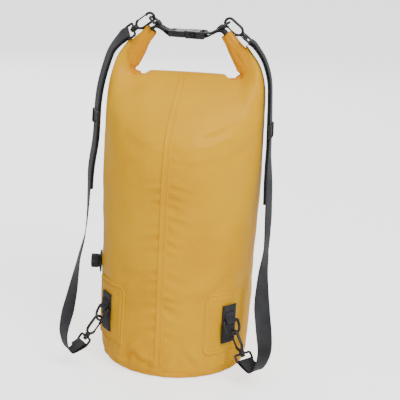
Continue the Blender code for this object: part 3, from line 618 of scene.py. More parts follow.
# ---- seam, patches and lower anchors
TAB_Z = (0.053, 0.110)
TAB_R = 0.1165
KEEPER_W = 0.019
KEEPER_T = 0.0015
KEEPER_FOOT = 0.0025
KEEPER_SEWN = 0.008         # a shorter keeper shows no stitches
WELD_HIGH = 0.0012          # how far a weld's ridge stands up
RING_HALF_W = 0.0135
RING_CORNER = 0.0022
RING_WIRE_R = 0.0018
LOWER_DROP = 0.020
UPPER_DROP = 0.013
RING_LEAN = math.radians(28)
UPPER_RING_TILT = math.radians(35)
BAR_GAP = 0.0004
ABOVE = 0.0001              # thread lies this far off the webbing
STITCH_PITCH = 0.0030
STITCH_LONG = 0.0021
STITCH_R = 0.00035


def ridge(distance, centre, width):
    return math.exp(-((distance - centre) / width) ** 2)


def seam_strip():
    """The welded strip down the middle of the back, with a ridge along each edge."""
    bm = bmesh.new()
    low, high, steps = 0.026, FOLD_LENGTH - 0.003, 165

    def place(i, k):
        length = low + (high - low) * k / steps
        u = SEAM_W * (i / 14 - 0.5) * 1.04
        edge = SEAM_W / 2 - abs(u)
        lift = 0.0014 * smooth_step(edge, -0.0003, 0.0004) - 0.0004
        lift += 0.0009 * ridge(edge, 0.0013, 0.0006) - 0.0004 * ridge(u, 0.0, 0.0012)
        lift += 0.00018 * ripple(u * 300, length * 210, 8.0)
        return shell_point(SEAM_AZ + math.degrees(u / BAG_R), length, lift)

    sheet(bm, place, 15, steps + 1)
    sag(bm)
    make("seam_strip", bm, PATCH_YELLOW, "root", ["back_seam_strip"])


def patch_edge(u, v):
    """The distance from a point of a patch to its rounded edge, with the point measured from the middle."""
    half_w, half_h, corner = PATCH_W / 2, (PATCH_Z[1] - PATCH_Z[0]) / 2, PATCH_CORNER
    past_u, past_v = abs(u) - (half_w - corner), abs(v) - (half_h - corner)
    if past_u > 0 and past_v > 0:
        return corner - math.hypot(past_u, past_v)
    return min(half_w - abs(u), half_h - abs(v))


def patch(side):
    """A second layer of fabric, welded on with two lines; its grid is drawn in to the round corners."""
    bm = bmesh.new()
    middle = sum(PATCH_Z) / 2
    sign = -1 if side == "left" else 1
    columns, steps = 72, 84

    def place(i, k):
        u, v = (2 * i / columns - 1) * PATCH_W / 2, (2 * k / steps - 1) * (PATCH_Z[1] - PATCH_Z[0]) / 2
        edge = patch_edge(u, v)
        if edge < 0:
            size = 1 + edge / math.hypot(u, v) * 1.05
            u, v, edge = u * size, v * size, 0.0
        lift = 0.0011 * smooth_step(edge, -0.0004, 0.0008) - 0.0004 * ridge(edge, 0.0053, 0.0018)
        lift += WELD_HIGH * (ridge(edge, 0.0018, 0.0008) + 0.9 * ridge(edge, 0.0088, 0.0008))
        lift += 0.0003 * ripple(u * 130, v * 130, 5.0 + sign)
        return shell_point(sign * (ANCHOR_AZ + math.degrees(u / BAG_R)), middle + v, lift)

    sheet(bm, place, columns + 1, steps + 1)
    make("patch_fabric_" + side, bm, PATCH_YELLOW, "root", ["patch_" + side])


def ribbon_profile(width, thickness):
    """A flat section with rounded edges."""
    half, radius, sides = width / 2 - thickness / 2, thickness / 2, 5
    points = []
    for centre, start in ((half, -90), (-half, 90)):
        for i in range(sides):
            angle = math.radians(start + 180 * i / (sides - 1))
            points.append((centre + radius * math.cos(angle), radius * math.sin(angle)))
    between = [points[sides - 1][0] + (points[sides][0] - points[sides - 1][0]) * i / 6 for i in range(1, 6)]
    top = [(x, radius) for x in between]
    bottom = [(-x, -radius) for x in between]
    return points[:sides] + top + points[sides:] + bottom


def webbing(name, path, widths, width, thickness, node, mirrored, smooth=180):
    """A webbing piece along a path, with its place across and along stored in metres for the weave."""
    bm = bmesh.new()
    strip = bm.loops.layers.uv.new("strip")
    profile = ribbon_profile(width, thickness)
    loops, lengths, length = [], [], 0.0
    for i, (centre, tangent, across) in enumerate(zip(path, tangents(path), widths)):
        if i:
            length += (centre - path[i - 1]).length
        up = tangent.cross(across).normalized()
        side = up.cross(tangent).normalized()
        loops.append(add_loop(bm, centre, side, up, profile))
        lengths.append(length)
    for k, (first, second) in enumerate(zip(loops, loops[1:])):
        for i, face in enumerate(join_loops(bm, first, second)):
            here, there = profile[i][0], profile[(i + 1) % len(profile)][0]
            start, end = lengths[k], lengths[k + 1]
            set_uv(face, strip, ((here, start), (there, start), (there, end), (here, end)))
    for loop, order in ((loops[0], -1), (loops[-1], 1)):
        set_uv(bm.faces.new(loop[::order]), strip, profile[::order])
    make(name, bm, WEBBING, "root", [node], mirrored, smooth)


def set_uv(face, layer, spots):
    for corner, spot in zip(face.loops, spots):
        corner[layer].uv = spot


def stitches(bm, start, end, up):
    """A line of thread stitches that lie on a surface."""
    along = (end - start).normalized()
    across = up.cross(along).normalized()
    count = max(int((end - start).length / STITCH_PITCH), 1)
    for i in range(count):
        middle = start + (end - start) * (i + 0.5) / count
        loops = []
        for part, size in ((-0.5, 0.35), (-0.3, 1.0), (0.3, 1.0), (0.5, 0.35)):
            centre = middle + along * STITCH_LONG * part - up * STITCH_R * (1 - size) * 0.8
            profile = rounded(STITCH_R * 1.3 * size, STITCH_R * size, 8, 2.0)
            loops.append(add_loop(bm, centre, across, up, profile))
        skin(bm, loops)


def sew(name, lines, mirrored):
    """A thread piece from its lines of stitches: (start, end, up)."""
    bm = bmesh.new()
    for start, end, up in lines:
        stitches(bm, start, end, up)
    make(name, bm, THREAD, "root", [], mirrored)


def hand(vector, side):
    """A place or direction on one side, in the right side's coordinates."""
    vector = Vector(vector)
    return Vector((-vector.x, vector.y, vector.z)) if side == "left" else vector


def pivot(joint, side):
    """A joint's place and axis, in the right side's coordinates."""
    return hand(JOINTS[joint]["pos_m"], side), hand(JOINTS[joint]["axis"], side)


def half_turn(centre, start, through, radius, steps=16):
    """Points of a half circle from centre + start, by way of centre + through."""
    angles = [math.pi * i / steps for i in range(1, steps)]
    return [centre + (start * math.cos(angle) + through * math.sin(angle)) * radius for angle in angles]


def tab(side):
    """The webbing on the patch, sewn down with a box and a cross."""
    mirrored = side == "left"
    thick = 0.0026
    bm = bmesh.new()
    strip = bm.loops.layers.uv.new("strip")
    rows, spots = [], []
    outline = [(u, 0.0) for u in (-1.0, -0.99)] + [(-0.98 + 1.96 * i / 12, 1.0) for i in range(13)]
    outline += [(0.99, 0.0), (1.0, 0.0)]
    steps = 40
    for k in range(steps + 1):
        height = TAB_Z[0] + (TAB_Z[1] - TAB_Z[0]) * k / steps
        row, spot = [], []
        for u, on in outline:
            azimuth = ANCHOR_AZ + math.degrees(u * WEB_W / 2 / TAB_R)
            wave = 0.00022 * ripple(u * 3, height * 160, 1.0)
            radius = TAB_R + (WEB_T + wave if on else WEB_T * 0.5 if abs(u) < 0.995 else WEB_T - thick)
            row.append(bm.verts.new(polar(radius, azimuth, height)))
            spot.append((u * WEB_W / 2, height))
        rows.append(row)
        spots.append(spot)
    for k in range(steps):
        for i in range(len(outline) - 1):
            face = bm.faces.new(rows[k][i:i + 2] + rows[k + 1][i:i + 2][::-1])
            set_uv(face, strip, spots[k][i:i + 2] + spots[k + 1][i:i + 2][::-1])
    for row in (rows[0], rows[-1]):
        back = [bm.verts.new(vert.co - outward(ANCHOR_AZ) * thick * 0.9) for vert in row]
        grid_faces(bm, [row, back])
    make("tab_web_" + side, bm, WEBBING, "root", ["tab_" + side], mirrored)

    def on_tab(u, height):
        return polar(TAB_R + WEB_T + ABOVE, ANCHOR_AZ + math.degrees(u / TAB_R), height)

    half = WEB_W / 2 - 0.0028
    lines = []
    for low, high in ((TAB_Z[0] + 0.003, TAB_Z[0] + 0.017), (TAB_Z[1] - 0.008, TAB_Z[1] - 0.003)):
        corners = [on_tab(-half, low), on_tab(half, low), on_tab(half, high), on_tab(-half, high)]
        for first, second in ((0, 1), (1, 2), (2, 3), (3, 0), (0, 2), (1, 3)):
            lines.append((corners[first], corners[second], outward(ANCHOR_AZ)))
    sew("tab_thread_" + side, lines, mirrored)


def ring_piece(name, bar, along, down, drop, node, side):
    """A D-ring: straight bar, short sides and round foot."""
    reach = RING_HALF_W - RING_CORNER
    outline = []
    for centre, start in (((-reach, -RING_CORNER), 180), ((reach, -RING_CORNER), 90)):
        outline += arc(centre, RING_CORNER, start, start - 90, 6)
    straight = drop * 0.35
    for i in range(41):
        angle = math.pi * i / 40
        fall = (drop - straight) * math.sin(angle) ** 0.8
        outline.append((RING_HALF_W * math.cos(angle), -straight - fall))
    points = [bar + along * u - down * v for u, v in outline]
    bm = bmesh.new()
    bar_through(bm, points, along.cross(down).normalized(), RING_WIRE_R, RING_WIRE_R * 0.98, closed=True)
    moulding(name + side, bm, node + side, node + side, side == "left", 180)


def keeper(name, bar, out, along, width_along, reach, node, mirrored):
    """A loop of webbing folded over a ring's bar, sewn across its flat ends where they are long enough."""
    radius = RING_WIRE_R + BAR_GAP + WEB_T / 2
    flat = out * (0.0003 + WEB_T / 2 - RING_WIRE_R - BAR_GAP)
    rest = radius + KEEPER_FOOT
    points = [bar + flat + along * reach, bar + flat + along * rest, bar + along * radius]
    points += half_turn(bar, along, out, radius)
    points += [bar - along * radius, bar + flat - along * rest, bar + flat - along * reach]
    webbing(name, points, [width_along] * len(points), KEEPER_W, KEEPER_T, node, mirrored)
    if reach < KEEPER_SEWN:
        return
    lines = []
    half = width_along * (KEEPER_W / 2 - 0.0015)
    for sign in (-1, 1):
        for part in (0.55, 0.85):
            middle = bar + flat + out * (KEEPER_T / 2 + ABOVE) + along * sign * (rest + (reach - rest) * part)
            lines.append((middle - half, middle + half, out))
    sew(name.replace("loop", "thread"), lines, mirrored)


def anchors(side):
    mirrored = side == "left"
    bar = pivot("ring_swing_" + side, side)[0]
    out, along = outward(ANCHOR_AZ), outward(ANCHOR_AZ + 90)
    down = out * math.sin(RING_LEAN) - Vector((0, 0, math.cos(RING_LEAN)))
    ring_piece("ring_wire_", bar, along, down, LOWER_DROP, "ring_", side)
    keeper("ring_keeper_loop_" + side, bar, out, Z_AXIS, along, 0.012, "ring_loop_" + side, mirrored)
    bar = pivot("upper_ring_swing_" + side, side)[0]
    down = Vector((math.cos(UPPER_RING_TILT), 0, math.sin(UPPER_RING_TILT)))
    ring_piece("upper_ring_wire_", bar, Y_AXIS, down, UPPER_DROP, "upper_ring_", side)
    keeper("upper_keeper_loop_" + side, bar, Z_AXIS, Vector((-1, 0, 0)), Y_AXIS, 0.0052,
           "upper_loop_" + side, mirrored)


# ---- snap hooks
HOOK_EYE_R = 0.0064
HOOK_HEAD = 0.0405
HOOK_THROAT = 0.0245
HOOK_FOOT = 0.0175
HOOK_STUB = 0.0235
HOOK_NOSE = 25.0
GATE_TOP = 0.0367
GATE_GAP = 0.0009
HOOK_WIRE_R = 0.0019
STEM_PROFILE = metres((
    (5, 66), (28, 67), (32, 71), (32, 89), (29, 92), (19, 92), (19, 144), (38, 144), (42, 148), (42, 161),
    (38, 166), (27, 178), (20, 186), (5, 190),
))
SOCKET_PROFILE = metres((
    (24, 100), (28, 96), (40, 96), (44, 100), (44, 106), (41, 110), (41, 126), (44, 130), (44, 136),
    (40, 140), (28, 140), (24, 136),
))
BASE_W = 0.033
BASE_CORNER = 0.0026
BAR_R = 0.0016
FRAME_H = 0.0114
UPPER_BAR_TURN = {"left": 55, "right": 90}


def frame_matrix(origin, axis, across):
    """A matrix whose Z runs along the axis and whose X is as near as it can be to across."""
    z = axis.normalized()
    x = (across - z * across.dot(z)).normalized()
    turn = Matrix((x, z.cross(x), z)).transposed().to_4x4()
    return Matrix.Translation(origin) @ turn


def direction(place, x, y, z):
    return (place.to_3x3() @ Vector((x, y, z))).normalized()


def bar_place(level, side):
    """Where a hook's strap bar is: X along the bar, Z towards the hook."""
    origin, axis = pivot(level + "_" + side + "_swivel", side)
    if level == "lower":
        return frame_matrix(origin, axis, outward(ANCHOR_AZ + 90))
    place = frame_matrix(origin, axis, Z_AXIS)
    turn = math.radians(UPPER_BAR_TURN[side])
    return frame_matrix(origin, axis, direction(place, math.cos(turn), math.sin(turn), 0))


def snap_hook(level, side):
    mirrored = side == "left"
    name = level + "_" + side
    origin, axis = pivot(name + "_swivel", side)
    stub = pivot(name + "_gate_flex", side)[0] - origin
    place = frame_matrix(origin, axis, -stub)
    normal = direction(place, 0, 1, 0)

    def local(outline):
        return [place @ Vector((u, 0, v)) for u, v in outline]

    outline = [(-x, z) for x, z in arc((0, HOOK_HEAD), HOOK_EYE_R, -HOOK_NOSE, 180, 12)]
    outline += [(HOOK_EYE_R, (HOOK_HEAD + HOOK_THROAT) / 2), (HOOK_EYE_R, HOOK_THROAT)]
    outline += [(HOOK_EYE_R * 0.9, HOOK_THROAT - 0.0025), (HOOK_EYE_R * 0.55, HOOK_FOOT + 0.0012)]
    outline += [(0.0, HOOK_FOOT), (-HOOK_EYE_R * 0.55, HOOK_FOOT + 0.0012)]
    outline += [(-HOOK_EYE_R * 0.92, HOOK_STUB - 0.0018), (-HOOK_EYE_R, HOOK_STUB)]
    bm = bmesh.new()
    bar_through(bm, smooth_points(local(outline), 4), normal, HOOK_WIRE_R, HOOK_WIRE_R * 1.06)
    turned(bm, STEM_PROFILE, origin, axis, 32)
    moulding(name + "_hook_moulding", bm, name + "_hook", name + "_hook", mirrored)
    bm = bmesh.new()
    gate = [(-HOOK_EYE_R, HOOK_STUB + GATE_GAP + (GATE_TOP - HOOK_STUB - GATE_GAP) * i / 8) for i in range(9)]
    bar_through(bm, local(gate), normal, 0.0011, 0.0015, ends=0.3)
    moulding(name + "_gate_spring", bm, name + "_gate", name + "_gate", mirrored)
    place = bar_place(level, side)
    half = BASE_W / 2 - BAR_R - BASE_CORNER
    outline = []
    for x, z, start in ((half, BASE_CORNER, -90), (half, FRAME_H - BASE_CORNER, 0),
                        (-half, FRAME_H - BASE_CORNER, 90), (-half, BASE_CORNER, 180)):
        outline += arc((x, z), BASE_CORNER, start, start + 90, 6)
    bm = bmesh.new()
    bar_through(bm, local(outline), direction(place, 0, 1, 0), BAR_R, BAR_R * 1.05, closed=True)
    turned(bm, SOCKET_PROFILE, place.translation, direction(place, 0, 0, 1), 32, closed=True)
    # two gussets brace the socket against the frame's top bar
    for sign in (-1, 1):
        profile = [(sign * 0.0036, 0.0136), (sign * 0.0038, 0.0112), (sign * 0.0105, 0.0112)]
        loops = [[bm.verts.new(place @ Vector((u, y, v))) for u, v in profile] for y in (-0.0008, 0.0008)]
        skin(bm, loops)
    moulding(name + "_base_moulding", bm, "root", name + "_base", mirrored)


# ---- straps
# Height, then for the right strap and again for the left: distance from the bag's axis, azimuth,
# and the azimuth that the webbing's width points along
ROUTE = metres((
    (290, 1710, 52, 143, 1710, 52, 143), (350, 1760, 53, 143, 1755, 53, 143),
    (460, 1785, 54, 141, 1775, 54, 141), (600, 1770, 55.5, 134, 1760, 55.5, 134),
    (820, 1690, 57.5, 122, 1690, 57.5, 124), (1120, 1580, 60, 122, 1590, 61, 138),
    (1500, 1480, 64, 150, 1490, 66, 160), (1900, 1420, 70, 170, 1380, 71, 168),
    (2350, 1360, 76, 164, 1345, 76, 160), (2800, 1300, 82, 166, 1340, 82, 154),
    (3150, 1258, 87, 176, 1310, 87, 153), (3300, 1250, 88, 178, 1300, 88, 153),
    (3450, 1245, 88, 178, 1295, 88, 153), (3600, 1240, 88, 178, 1290, 88, 153),
    (3750, 1235, 88, 178, 1285, 88, 153), (4000, 1220, 89, 180, 1260, 89, 152),
    (4280, 1190, 90, 180, 1200, 90, 152), (4540, 1100, 90, 180, 1110, 90, 152),
), 2, 3, 5, 6)
BAR_EXIT = 0.009
LOW_EXIT_DIP = math.radians(25)
SLIDER_HEIGHT = 0.3525
SLIDER_W = (0.0262, 0.0324)  # inside and outside its frame
SLIDER_BAR_Z = 0.00915
SLIDER_HALF_H = 0.0105
TAIL_END_Z = 0.250
SEWN_LENGTH = 0.016
SEWN_HALF = 0.0105          # half of a line of stitches across a folded end
LAYERS = 0.0036
LAYERS_AT_BAR = 2 * (BAR_R + BAR_GAP + WEB_T / 2)
LAYERS_SPREAD = 0.015
ROUTE_STEPS = 3
FINER = 4                   # webbing sections for each of the route's steps


def strap_line(side):
    """The middle of the strap's two layers, from the lower hook's bar to the upper one's, with its width."""
    low, high = bar_place("lower", side), bar_place("upper", side)
    away = outward(ANCHOR_AZ) * math.cos(LOW_EXIT_DIP) - Vector((0, 0, math.sin(LOW_EXIT_DIP)))
    high_away = -direction(high, 0, 0, 1)
    points = [low.translation, low.translation + away * BAR_EXIT]
    widths = [direction(low, 1, 0, 0)] * 2
    first = 4 if side == "left" else 1
    for row in ROUTE:
        radius, azimuth, facing = row[first:first + 3]
        points.append(polar(radius, azimuth, row[0]))
        widths.append(outward(facing))
    points += [high.translation + high_away * BAR_EXIT, high.translation]
    widths += [direction(high, 1, 0, 0)] * 2
    steps = ROUTE_STEPS * FINER
    line = []
    for i in range((len(points) - 1) * steps + 1):
        k = min(i // steps, len(points) - 2)
        width = widths[k].lerp(widths[k + 1], i / steps - k).normalized()
        line.append((catmull(points, i / steps), width))
    return line


def strap(side):
    """One length of webbing: a sewn loop on the lower hook, up, over the upper bar, down to a free tail."""
    mirrored = side == "left"
    line = strap_line(side)
    points = [point for point, width in line]
    widths = [width for point, width in line]
    outer, inner = [], []
    directions = tangents(points)
    for point, tangent, width in zip(points, directions, widths):
        normal = tangent.cross(width).normalized()
        nearest = min((point - points[0]).length, (point - points[-1]).length)
        part = min(nearest / LAYERS_SPREAD, 1.0)
        half = (LAYERS_AT_BAR + (LAYERS - LAYERS_AT_BAR) * part) / 2
        # the slack webbing is never quite even
        wave = 0.00035 * ripple(point.z * 38, 2.0 if mirrored else 6.0, 0) * part
        outer.append(point - normal * (half + wave))
        inner.append(point + normal * half)
    count = len(line)
    sewn = [i for i in range(count) if (points[i] - points[0]).length < SEWN_LENGTH]
    tail = [i for i in range(count) if points[i].z > TAIL_END_Z or i > count // 2]
    radius = LAYERS_AT_BAR / 2
    centres = [inner[i] for i in reversed(sewn)]
    across = [widths[i] for i in reversed(sewn)]
    start, through = (inner[0] - points[0]).normalized(), (points[0] - points[1]).normalized()
    bend = half_turn(points[0], start, through, radius)
    centres += bend + outer
    across += [widths[0]] * len(bend) + widths
    start, through = (outer[-1] - points[-1]).normalized(), (points[-1] - points[-2]).normalized()
    bend = half_turn(points[-1], start, through, radius)
    centres += bend + [inner[i] for i in reversed(tail)]
    across += [widths[-1]] * len(bend) + [widths[i] for i in reversed(tail)]
    webbing("strap_webbing_" + side, centres, across, WEB_W, WEB_T, "strap_" + side, mirrored, 60)
    # across the sewn loop on both sides, then across the tail's folded end
    rows = [(index, layer, sign, WEB_W / 2 - 0.002) for index in (sewn[-1] - 2, sewn[-1] - 8)
            for layer, sign in ((outer, -1), (inner, 1))]
    rows += [(tail[0] + 4, inner[shift:], 1, SEWN_HALF) for shift in (0, 5)]
    lines = []
    for index, layer, sign, half in rows:
        normal = directions[index].cross(widths[index]).normalized() * sign
        middle = layer[index] + normal * (WEB_T / 2 + ABOVE)
        lines.append((middle - widths[index] * half, middle + widths[index] * half, normal))
    sew("strap_thread_" + side, lines, mirrored)
    slider(side, line, mirrored)


def slider(side, line, mirrored):
    """The adjusting buckle: a moulded frame in front of the strap, with its middle bar between the layers."""
    index = min(range(0, len(line), FINER), key=lambda i: abs(line[i][0].z - SLIDER_HEIGHT))
    centre, width = line[index]
    along = (line[index + FINER][0] - line[index - FINER][0]).normalized()
    place = frame_matrix(centre, along, width)
    front = -1 if direction(place, 0, 1, 0).dot(centre) < 0 else 1
    inside, outside = SLIDER_W[0] / 2, SLIDER_W[1] / 2
    bm = bmesh.new()

    def bar(start, end, half_u, half_v):
        run = (end - start).normalized()
        up = direction(place, 0, 1, 0)
        side_way = run.cross(up).normalized()
        long = (end - start).length
        ends = ((0.0, 0.55), (0.0006 / long, 0.9), (0.0015 / long, 1.0))
        loops = []
        for part, size in ends + tuple((1 - part, size) for part, size in reversed(ends)):
            profile = rounded(half_u * size, half_v * size, 20, 3.4)
            loops.append(add_loop(bm, start.lerp(end, part), side_way, up, profile))
        skin(bm, loops)

    def spot(x, y, z):
        return place @ Vector((x, front * y, z))

    bar(spot(-inside - 0.0008, 0, 0), spot(inside + 0.0008, 0, 0), 0.0016, 0.00065)
    for z in (-SLIDER_BAR_Z, SLIDER_BAR_Z):
        bar(spot(-inside - 0.001, 0.00375, z), spot(inside + 0.001, 0.00375, z), 0.00135, 0.00085)
        for x in (-0.0084, -0.0042, 0.0, 0.0042, 0.0084):
            bar(spot(x, 0.00462, z - 0.0011), spot(x, 0.00462, z + 0.0011), 0.0005, 0.00025)
    for x in (-(inside + outside) / 2, (inside + outside) / 2):
        foot, head = spot(x, 0.00195, -SLIDER_HALF_H), spot(x, 0.00195, SLIDER_HALF_H)
        bar(foot, head, (outside - inside) / 2, 0.00265)
    moulding("slider_moulding_" + side, bm, "slider_" + side, "slider_" + side, mirrored)


# ---- rolled mouth
ROLL_HALF = (0.0130, 0.0090)
EAR_HALF = (0.0086, 0.0072)
EAR_STEPS = 46
ROLL_SQUARE = 2.7           # the power of the roll's section: 2 is round, more is squarer


def ear_line():
    """One side of the roll's centre line from its middle: (point, distance along it, share of the ear)."""
    line = [(Vector((ROLL_FLAT * i / 26, 0, ROLL_Z)), ROLL_FLAT * i / 26, 0.0) for i in range(26)]
    for i in range(31):
        angle = ROLL_TURN * i / 30
        x = ROLL_FLAT + ROLL_BEND_R * math.sin(angle)
        z = ROLL_Z + ROLL_BEND_R * (1 - math.cos(angle))
        line.append((Vector((x, 0, z)), ROLL_FLAT + ROLL_BEND_R * angle, 0.0))
    start, length, _ = line[-1]
    along = Vector((math.cos(ROLL_TURN), 0, math.sin(ROLL_TURN)))
    for i in range(1, EAR_STEPS + 1):
        part = i / EAR_STEPS
        line.append((start + along * EAR_LENGTH * part, length + EAR_LENGTH * part, part))
    return line


def roll_fabric():
    """The rolled mouth: a flattened tube of three turns, bent up into an ear at each end."""
    half = ear_line()
    path = [(Vector((-p.x, 0, p.z)), -along, part) for p, along, part in reversed(half[1:])] + half
    points = [p for p, along, part in path]
    bend_end = ROLL_FLAT + ROLL_BEND_R * ROLL_TURN
    sides = 56
    directions = tangents(points)
    bm = bmesh.new()
    rings = []
    for (point, along, part), tangent in zip(path, directions):
        up = Y_AXIS.cross(tangent).normalized()
        away = abs(along)
        sign = 1 if along > 0 else -1
        half_h = ROLL_HALF[0] + (EAR_HALF[0] - ROLL_HALF[0]) * part ** 0.8
        half_d = ROLL_HALF[1] + (EAR_HALF[1] - ROLL_HALF[1]) * part
        pinch = math.exp(-((away - (ROLL_FLAT + 0.62 * ROLL_BEND_R * ROLL_TURN)) / 0.0055) ** 2)
        swell = math.exp(-((away - bend_end - 0.010) / 0.014) ** 2)
        loop = []
        for angle, cos, sin, size in section(sides, ROLL_SQUARE):
            out = 0.0012 * swell - 0.0038 * pinch * (0.4 + 0.6 * max(-cos, 0.0))
            # the sheet's edge runs along the roll, a step in front and one behind
            turn = (angle / (2 * math.pi) + 0.06 * math.sin(away * 55) + 0.02 * sign) % 1.0
            step = (turn * 2) % 1.0
            out += 0.0011 * (step - 0.5) - 0.0012 * math.exp(-(min(step, 1 - step) / 0.035) ** 2)
            # crumples gather in the bend and fade up the ear
            near = math.exp(-((away - ROLL_FLAT - 0.020) / 0.020) ** 2)
            for depth, rate, turns, shift in ((0.0032 * near, 190, 1.6, 4), (0.0011, 70, 3.0, -6),
                                              (0.0006 * part, 30, 7.0, 11)):
                out += depth * ripple(away * rate, cos * turns + shift * sign, sin * turns)
            u, v = half_h * size * cos + out * cos, half_d * size * sin + out * sin
            loop.append(bm.verts.new(point + up * u + Y_AXIS * v))
        rings.append(loop)
    # each end is drawn in to a lip with a hollow
    for index, sign in ((0, -1), (-1, 1)):
        ends, tangent = rings[index], directions[index] * sign
        centre = sum((vert.co for vert in ends), Vector()) / sides
        closing = [[bm.verts.new(centre + (vert.co - centre) * size + tangent * past) for vert in ends]
                   for size, past in ((0.86, 0.0012), (0.60, -0.0010), (0.34, -0.0050))]
        rings = closing[::-1] + rings if sign < 0 else rings + closing
    skin(bm, rings)
    sag(bm)
    # the roll wears the darker copy of the fabric, which is painted shade
    make("roll_fabric", bm, ROLL_SHADED_YELLOW, "root", ["roll_closure"])


# ---- closure buckle
TAB_ROUTE = ((53.5, 487.7), (50.6, 490.7), (46.0, 492.5), (40.5, 491.3), (34.5, 488.0), (29.0, 485.4))
TAB_BAR_X = {"left": 0.0257, "right": 0.0232}
TAB_HALF_GAP = 0.0011
TAB_BAR_REACH = 0.0031
TAB_SPREAD = 0.010
TAB_WEB_T = 0.0018
BUCKLE_Z = 0.4845


def buckle_tab(side):
    """Folded webbing from an ear's tip round the buckle's bar and back."""
    mirrored = side == "left"
    points = [Vector((x / 1000, 0, z / 1000)) for x, z in TAB_ROUTE]
    line = smooth_points(points + [Vector((TAB_BAR_X[side], 0, BUCKLE_Z))], 8)
    upper, lower = [], []
    for point, tangent in zip(line, tangents(line)):
        normal = tangent.cross(Y_AXIS)
        nearest = (point - line[-1]).length
        half = TAB_HALF_GAP + (TAB_BAR_REACH - TAB_HALF_GAP) * max(1 - nearest / TAB_SPREAD, 0.0)
        upper.append(point + normal * half)
        lower.append(point - normal * half)
    if upper[-1].z < lower[-1].z:
        upper, lower = lower, upper
    on = (line[-1] - line[-2]).normalized()
    start = (lower[-1] - line[-1]).normalized()
    path = lower + half_turn(line[-1], start, on, TAB_BAR_REACH) + list(reversed(upper))
    webbing("buckle_web_" + side, path, [Y_AXIS] * len(path), WEB_W, TAB_WEB_T,
            "buckle_tab_" + side, mirrored, 60)
    lines = []
    for k in (26, 30):
        for layer, sign in ((upper, 1), (lower, -1)):
            normal = (layer[k + 1] - layer[k - 1]).normalized().cross(Y_AXIS).normalized()
            normal = normal if (normal.z > 0) == (sign > 0) else -normal
            middle = layer[k] + normal * (TAB_WEB_T / 2 + ABOVE)
            lines.append((middle - Y_AXIS * SEWN_HALF, middle + Y_AXIS * SEWN_HALF, normal))
    sew("buckle_thread_" + side, lines, mirrored)


def refined(node, name, body, width):
    """A copy of a CAD node's mesh with softly rounded edges, to stand for it."""
    source = frame["nodes"][node]
    mesh = source.data.copy()
    mesh.transform(source.matrix_world)
    mesh.materials.clear()
    bm = bmesh.new()
    bm.from_mesh(mesh)
    bmesh.ops.remove_doubles(bm, verts=bm.verts, dist=0.00001)
    bmesh.ops.dissolve_limit(bm, angle_limit=math.radians(1), verts=bm.verts, edges=bm.edges)
    bm.to_mesh(mesh)
    bm.free()
    thing = link(name, mesh, PLASTIC, 35)
    bevel = thing.modifiers.new("edges", "BEVEL")
    bevel.width = width
    bevel.segments = 2
    bevel.limit_method = "ANGLE"
    bevel.angle_limit = math.radians(40)
    bevel.harden_normals = True
    settle(thing)
    enter(thing, body, [node])


def buckle():
    refined("buckle_female", "buckle_shell", "root", 0.00045)
    refined("buckle_male", "buckle_male_moulding", "root", 0.00035)
    for side in ("front", "rear"):
        refined("latch_arm_" + side, "latch_moulding_" + side, "latch_arm_" + side, 0.0005)
    # grip ribs on the shell's two faces and on the web bars
    bm = bmesh.new()

    def rib(x, half_y, z, up):
        loops = []
        for part, size in ((-1.0, 0.3), (-0.93, 1.0), (0.93, 1.0), (1.0, 0.3)):
            profile = rounded(0.00045, 0.00035 * size, 12, 2.2)
            loops.append(add_loop(bm, Vector((x, half_y * part, z)), Vector((1, 0, 0)), Z_AXIS * up, profile))
        skin(bm, loops)

    for up in (-1, 1):
        for k in range(4):
            rib(0.0062 + 0.0020 * k, 0.0105 - 0.0009 * k, BUCKLE_Z + up * 0.0052, up)
        for k in range(3):
            rib(-0.0175 + 0.0045 * k, 0.0120, BUCKLE_Z + up * 0.0044, up)
    make("buckle_ribs", bm, PLASTIC, "root", [])


# ---- air valve
CAP_RIBS = 24
CAP_GROOVE = 0.0008
FLANGE_PROFILE = metres((
    (170, 1146), (171, 1156), (166, 1163), (150, 1166), (120, 1167), (112, 1171), (100, 1172), (80, 1173),
    (76, 1177), (76, 1211), (73, 1215), (51, 1215), (49, 1212), (49, 1146),
))
CAP_PROFILE = metres((
    (5, 1296), (40, 1296), (46, 1300), (88, 1300), (98, 1297), (104, 1289), (105, 1278), (105, 1206),
    (104, 1197), (99, 1189), (90, 1188), (80, 1189), (80, 1265), (5, 1266),
))


def valve():
    zero = Vector((0, 0, VALVE_Z))
    out = outward(VALVE_AZ)
    bm = bmesh.new()
    turned(bm, FLANGE_PROFILE, zero, out, 64, closed=True)
    moulding("valve_flange_moulding", bm, "root", "valve_flange")
    bm = bmesh.new()
    loops = turned(bm, CAP_PROFILE, zero, out, 8 * CAP_RIBS)
    for loop in loops[6:9]:
        for i, vert in enumerate(loop):
            spoke = vert.co - zero
            spoke -= out * spoke.dot(out)
            groove = 0.5 - 0.5 * math.cos(2 * math.pi * i / 8)
            vert.co -= spoke.normalized() * CAP_GROOVE * groove
    moulding("valve_cap_moulding", bm, "valve_cap", "valve_cap", smooth=60)


def stiffener():
    """The strip inside the roll, which sags with it."""
    bm = bmesh.new()
    source = frame["nodes"]["mouth_stiffener"]
    bm.from_mesh(source.data)
    bm.transform(source.matrix_world)
    sag(bm)
    moulding("roll_stiffener", bm, "root", "mouth_stiffener", smooth=180)


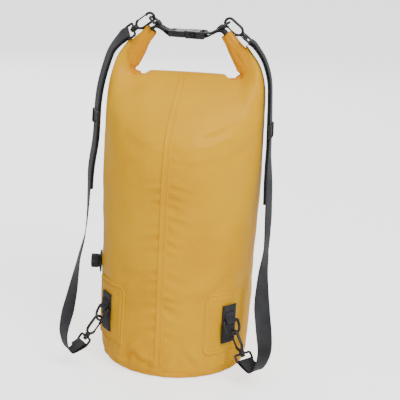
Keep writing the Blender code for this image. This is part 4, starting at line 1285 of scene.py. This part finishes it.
def dress(node, look):
    """Give a CAD node that stays a better material."""
    for slot in frame["nodes"][node].material_slots:
        slot.material = look


bag_shell()
base_panel()
seam_strip()
roll_fabric()
buckle()
valve()
stiffener()
dress("valve_stem", PLASTIC)
dress("valve_gasket", RUBBER)
for side in SIDES:
    patch(side)
    tab(side)
    anchors(side)
    buckle_tab(side)
    for level in ("lower", "upper"):
        snap_hook(level, side)
    strap(side)


# ---- floor and light
SEEN = 1.7                  # how much brighter the white sweep looks than the light that it gives
WORLD = 0.42
LAMPS = (                   # name, place, size, power
    ("key", (1.3, -1.5, 2.2), 1.0, 50),
    ("top", (0.1, -0.3, 2.4), 1.6, 14),
    ("fill", (-2.0, -1.2, 1.1), 2.0, 5),
    ("rear", (-0.9, 2.3, 1.5), 1.8, 24),
)


def seen_only(tree, strength):
    """A strength for what looks straight at it, and none for the light that it throws on the bag."""
    path = tree.nodes.new("ShaderNodeLightPath")
    return maths(tree, path.outputs["Is Camera Ray"], strength)


def studio():
    bm = bmesh.new()
    bmesh.ops.create_grid(bm, x_segments=2, y_segments=2, size=16.0)
    mesh = bpy.data.meshes.new("floor")
    bm.to_mesh(mesh)
    bm.free()
    material, tree, shader = node_tree("floor_paper")
    put(shader, Base_Color=(0.92, 0.92, 0.92, 1), Emission_Color=(1.0, 1.0, 1.0, 1), Roughness=0.9)
    wire(seen_only(tree, SEEN), shader, "Emission Strength")
    floor = link("floor", mesh, material)
    floor.location = (0, 0, -0.0002)
    world = bpy.data.worlds.new("studio")
    world.use_nodes = True
    tree = world.node_tree
    sky = put(tree.nodes["Background"], Color=(1.0, 1.0, 1.0, 1))
    wire(maths(tree, seen_only(tree, SEEN), WORLD, "ADD"), sky, "Strength")
    bpy.context.scene.world = world
    for name, place, size, power in LAMPS:
        data = bpy.data.lights.new(name, "AREA")
        data.size = size
        data.energy = power
        lamp = add_object(name, data)
        lamp.location = place
        lamp.rotation_euler = (Vector((0, 0, 0.25)) - Vector(place)).to_track_quat("-Z", "Y").to_euler()


studio()
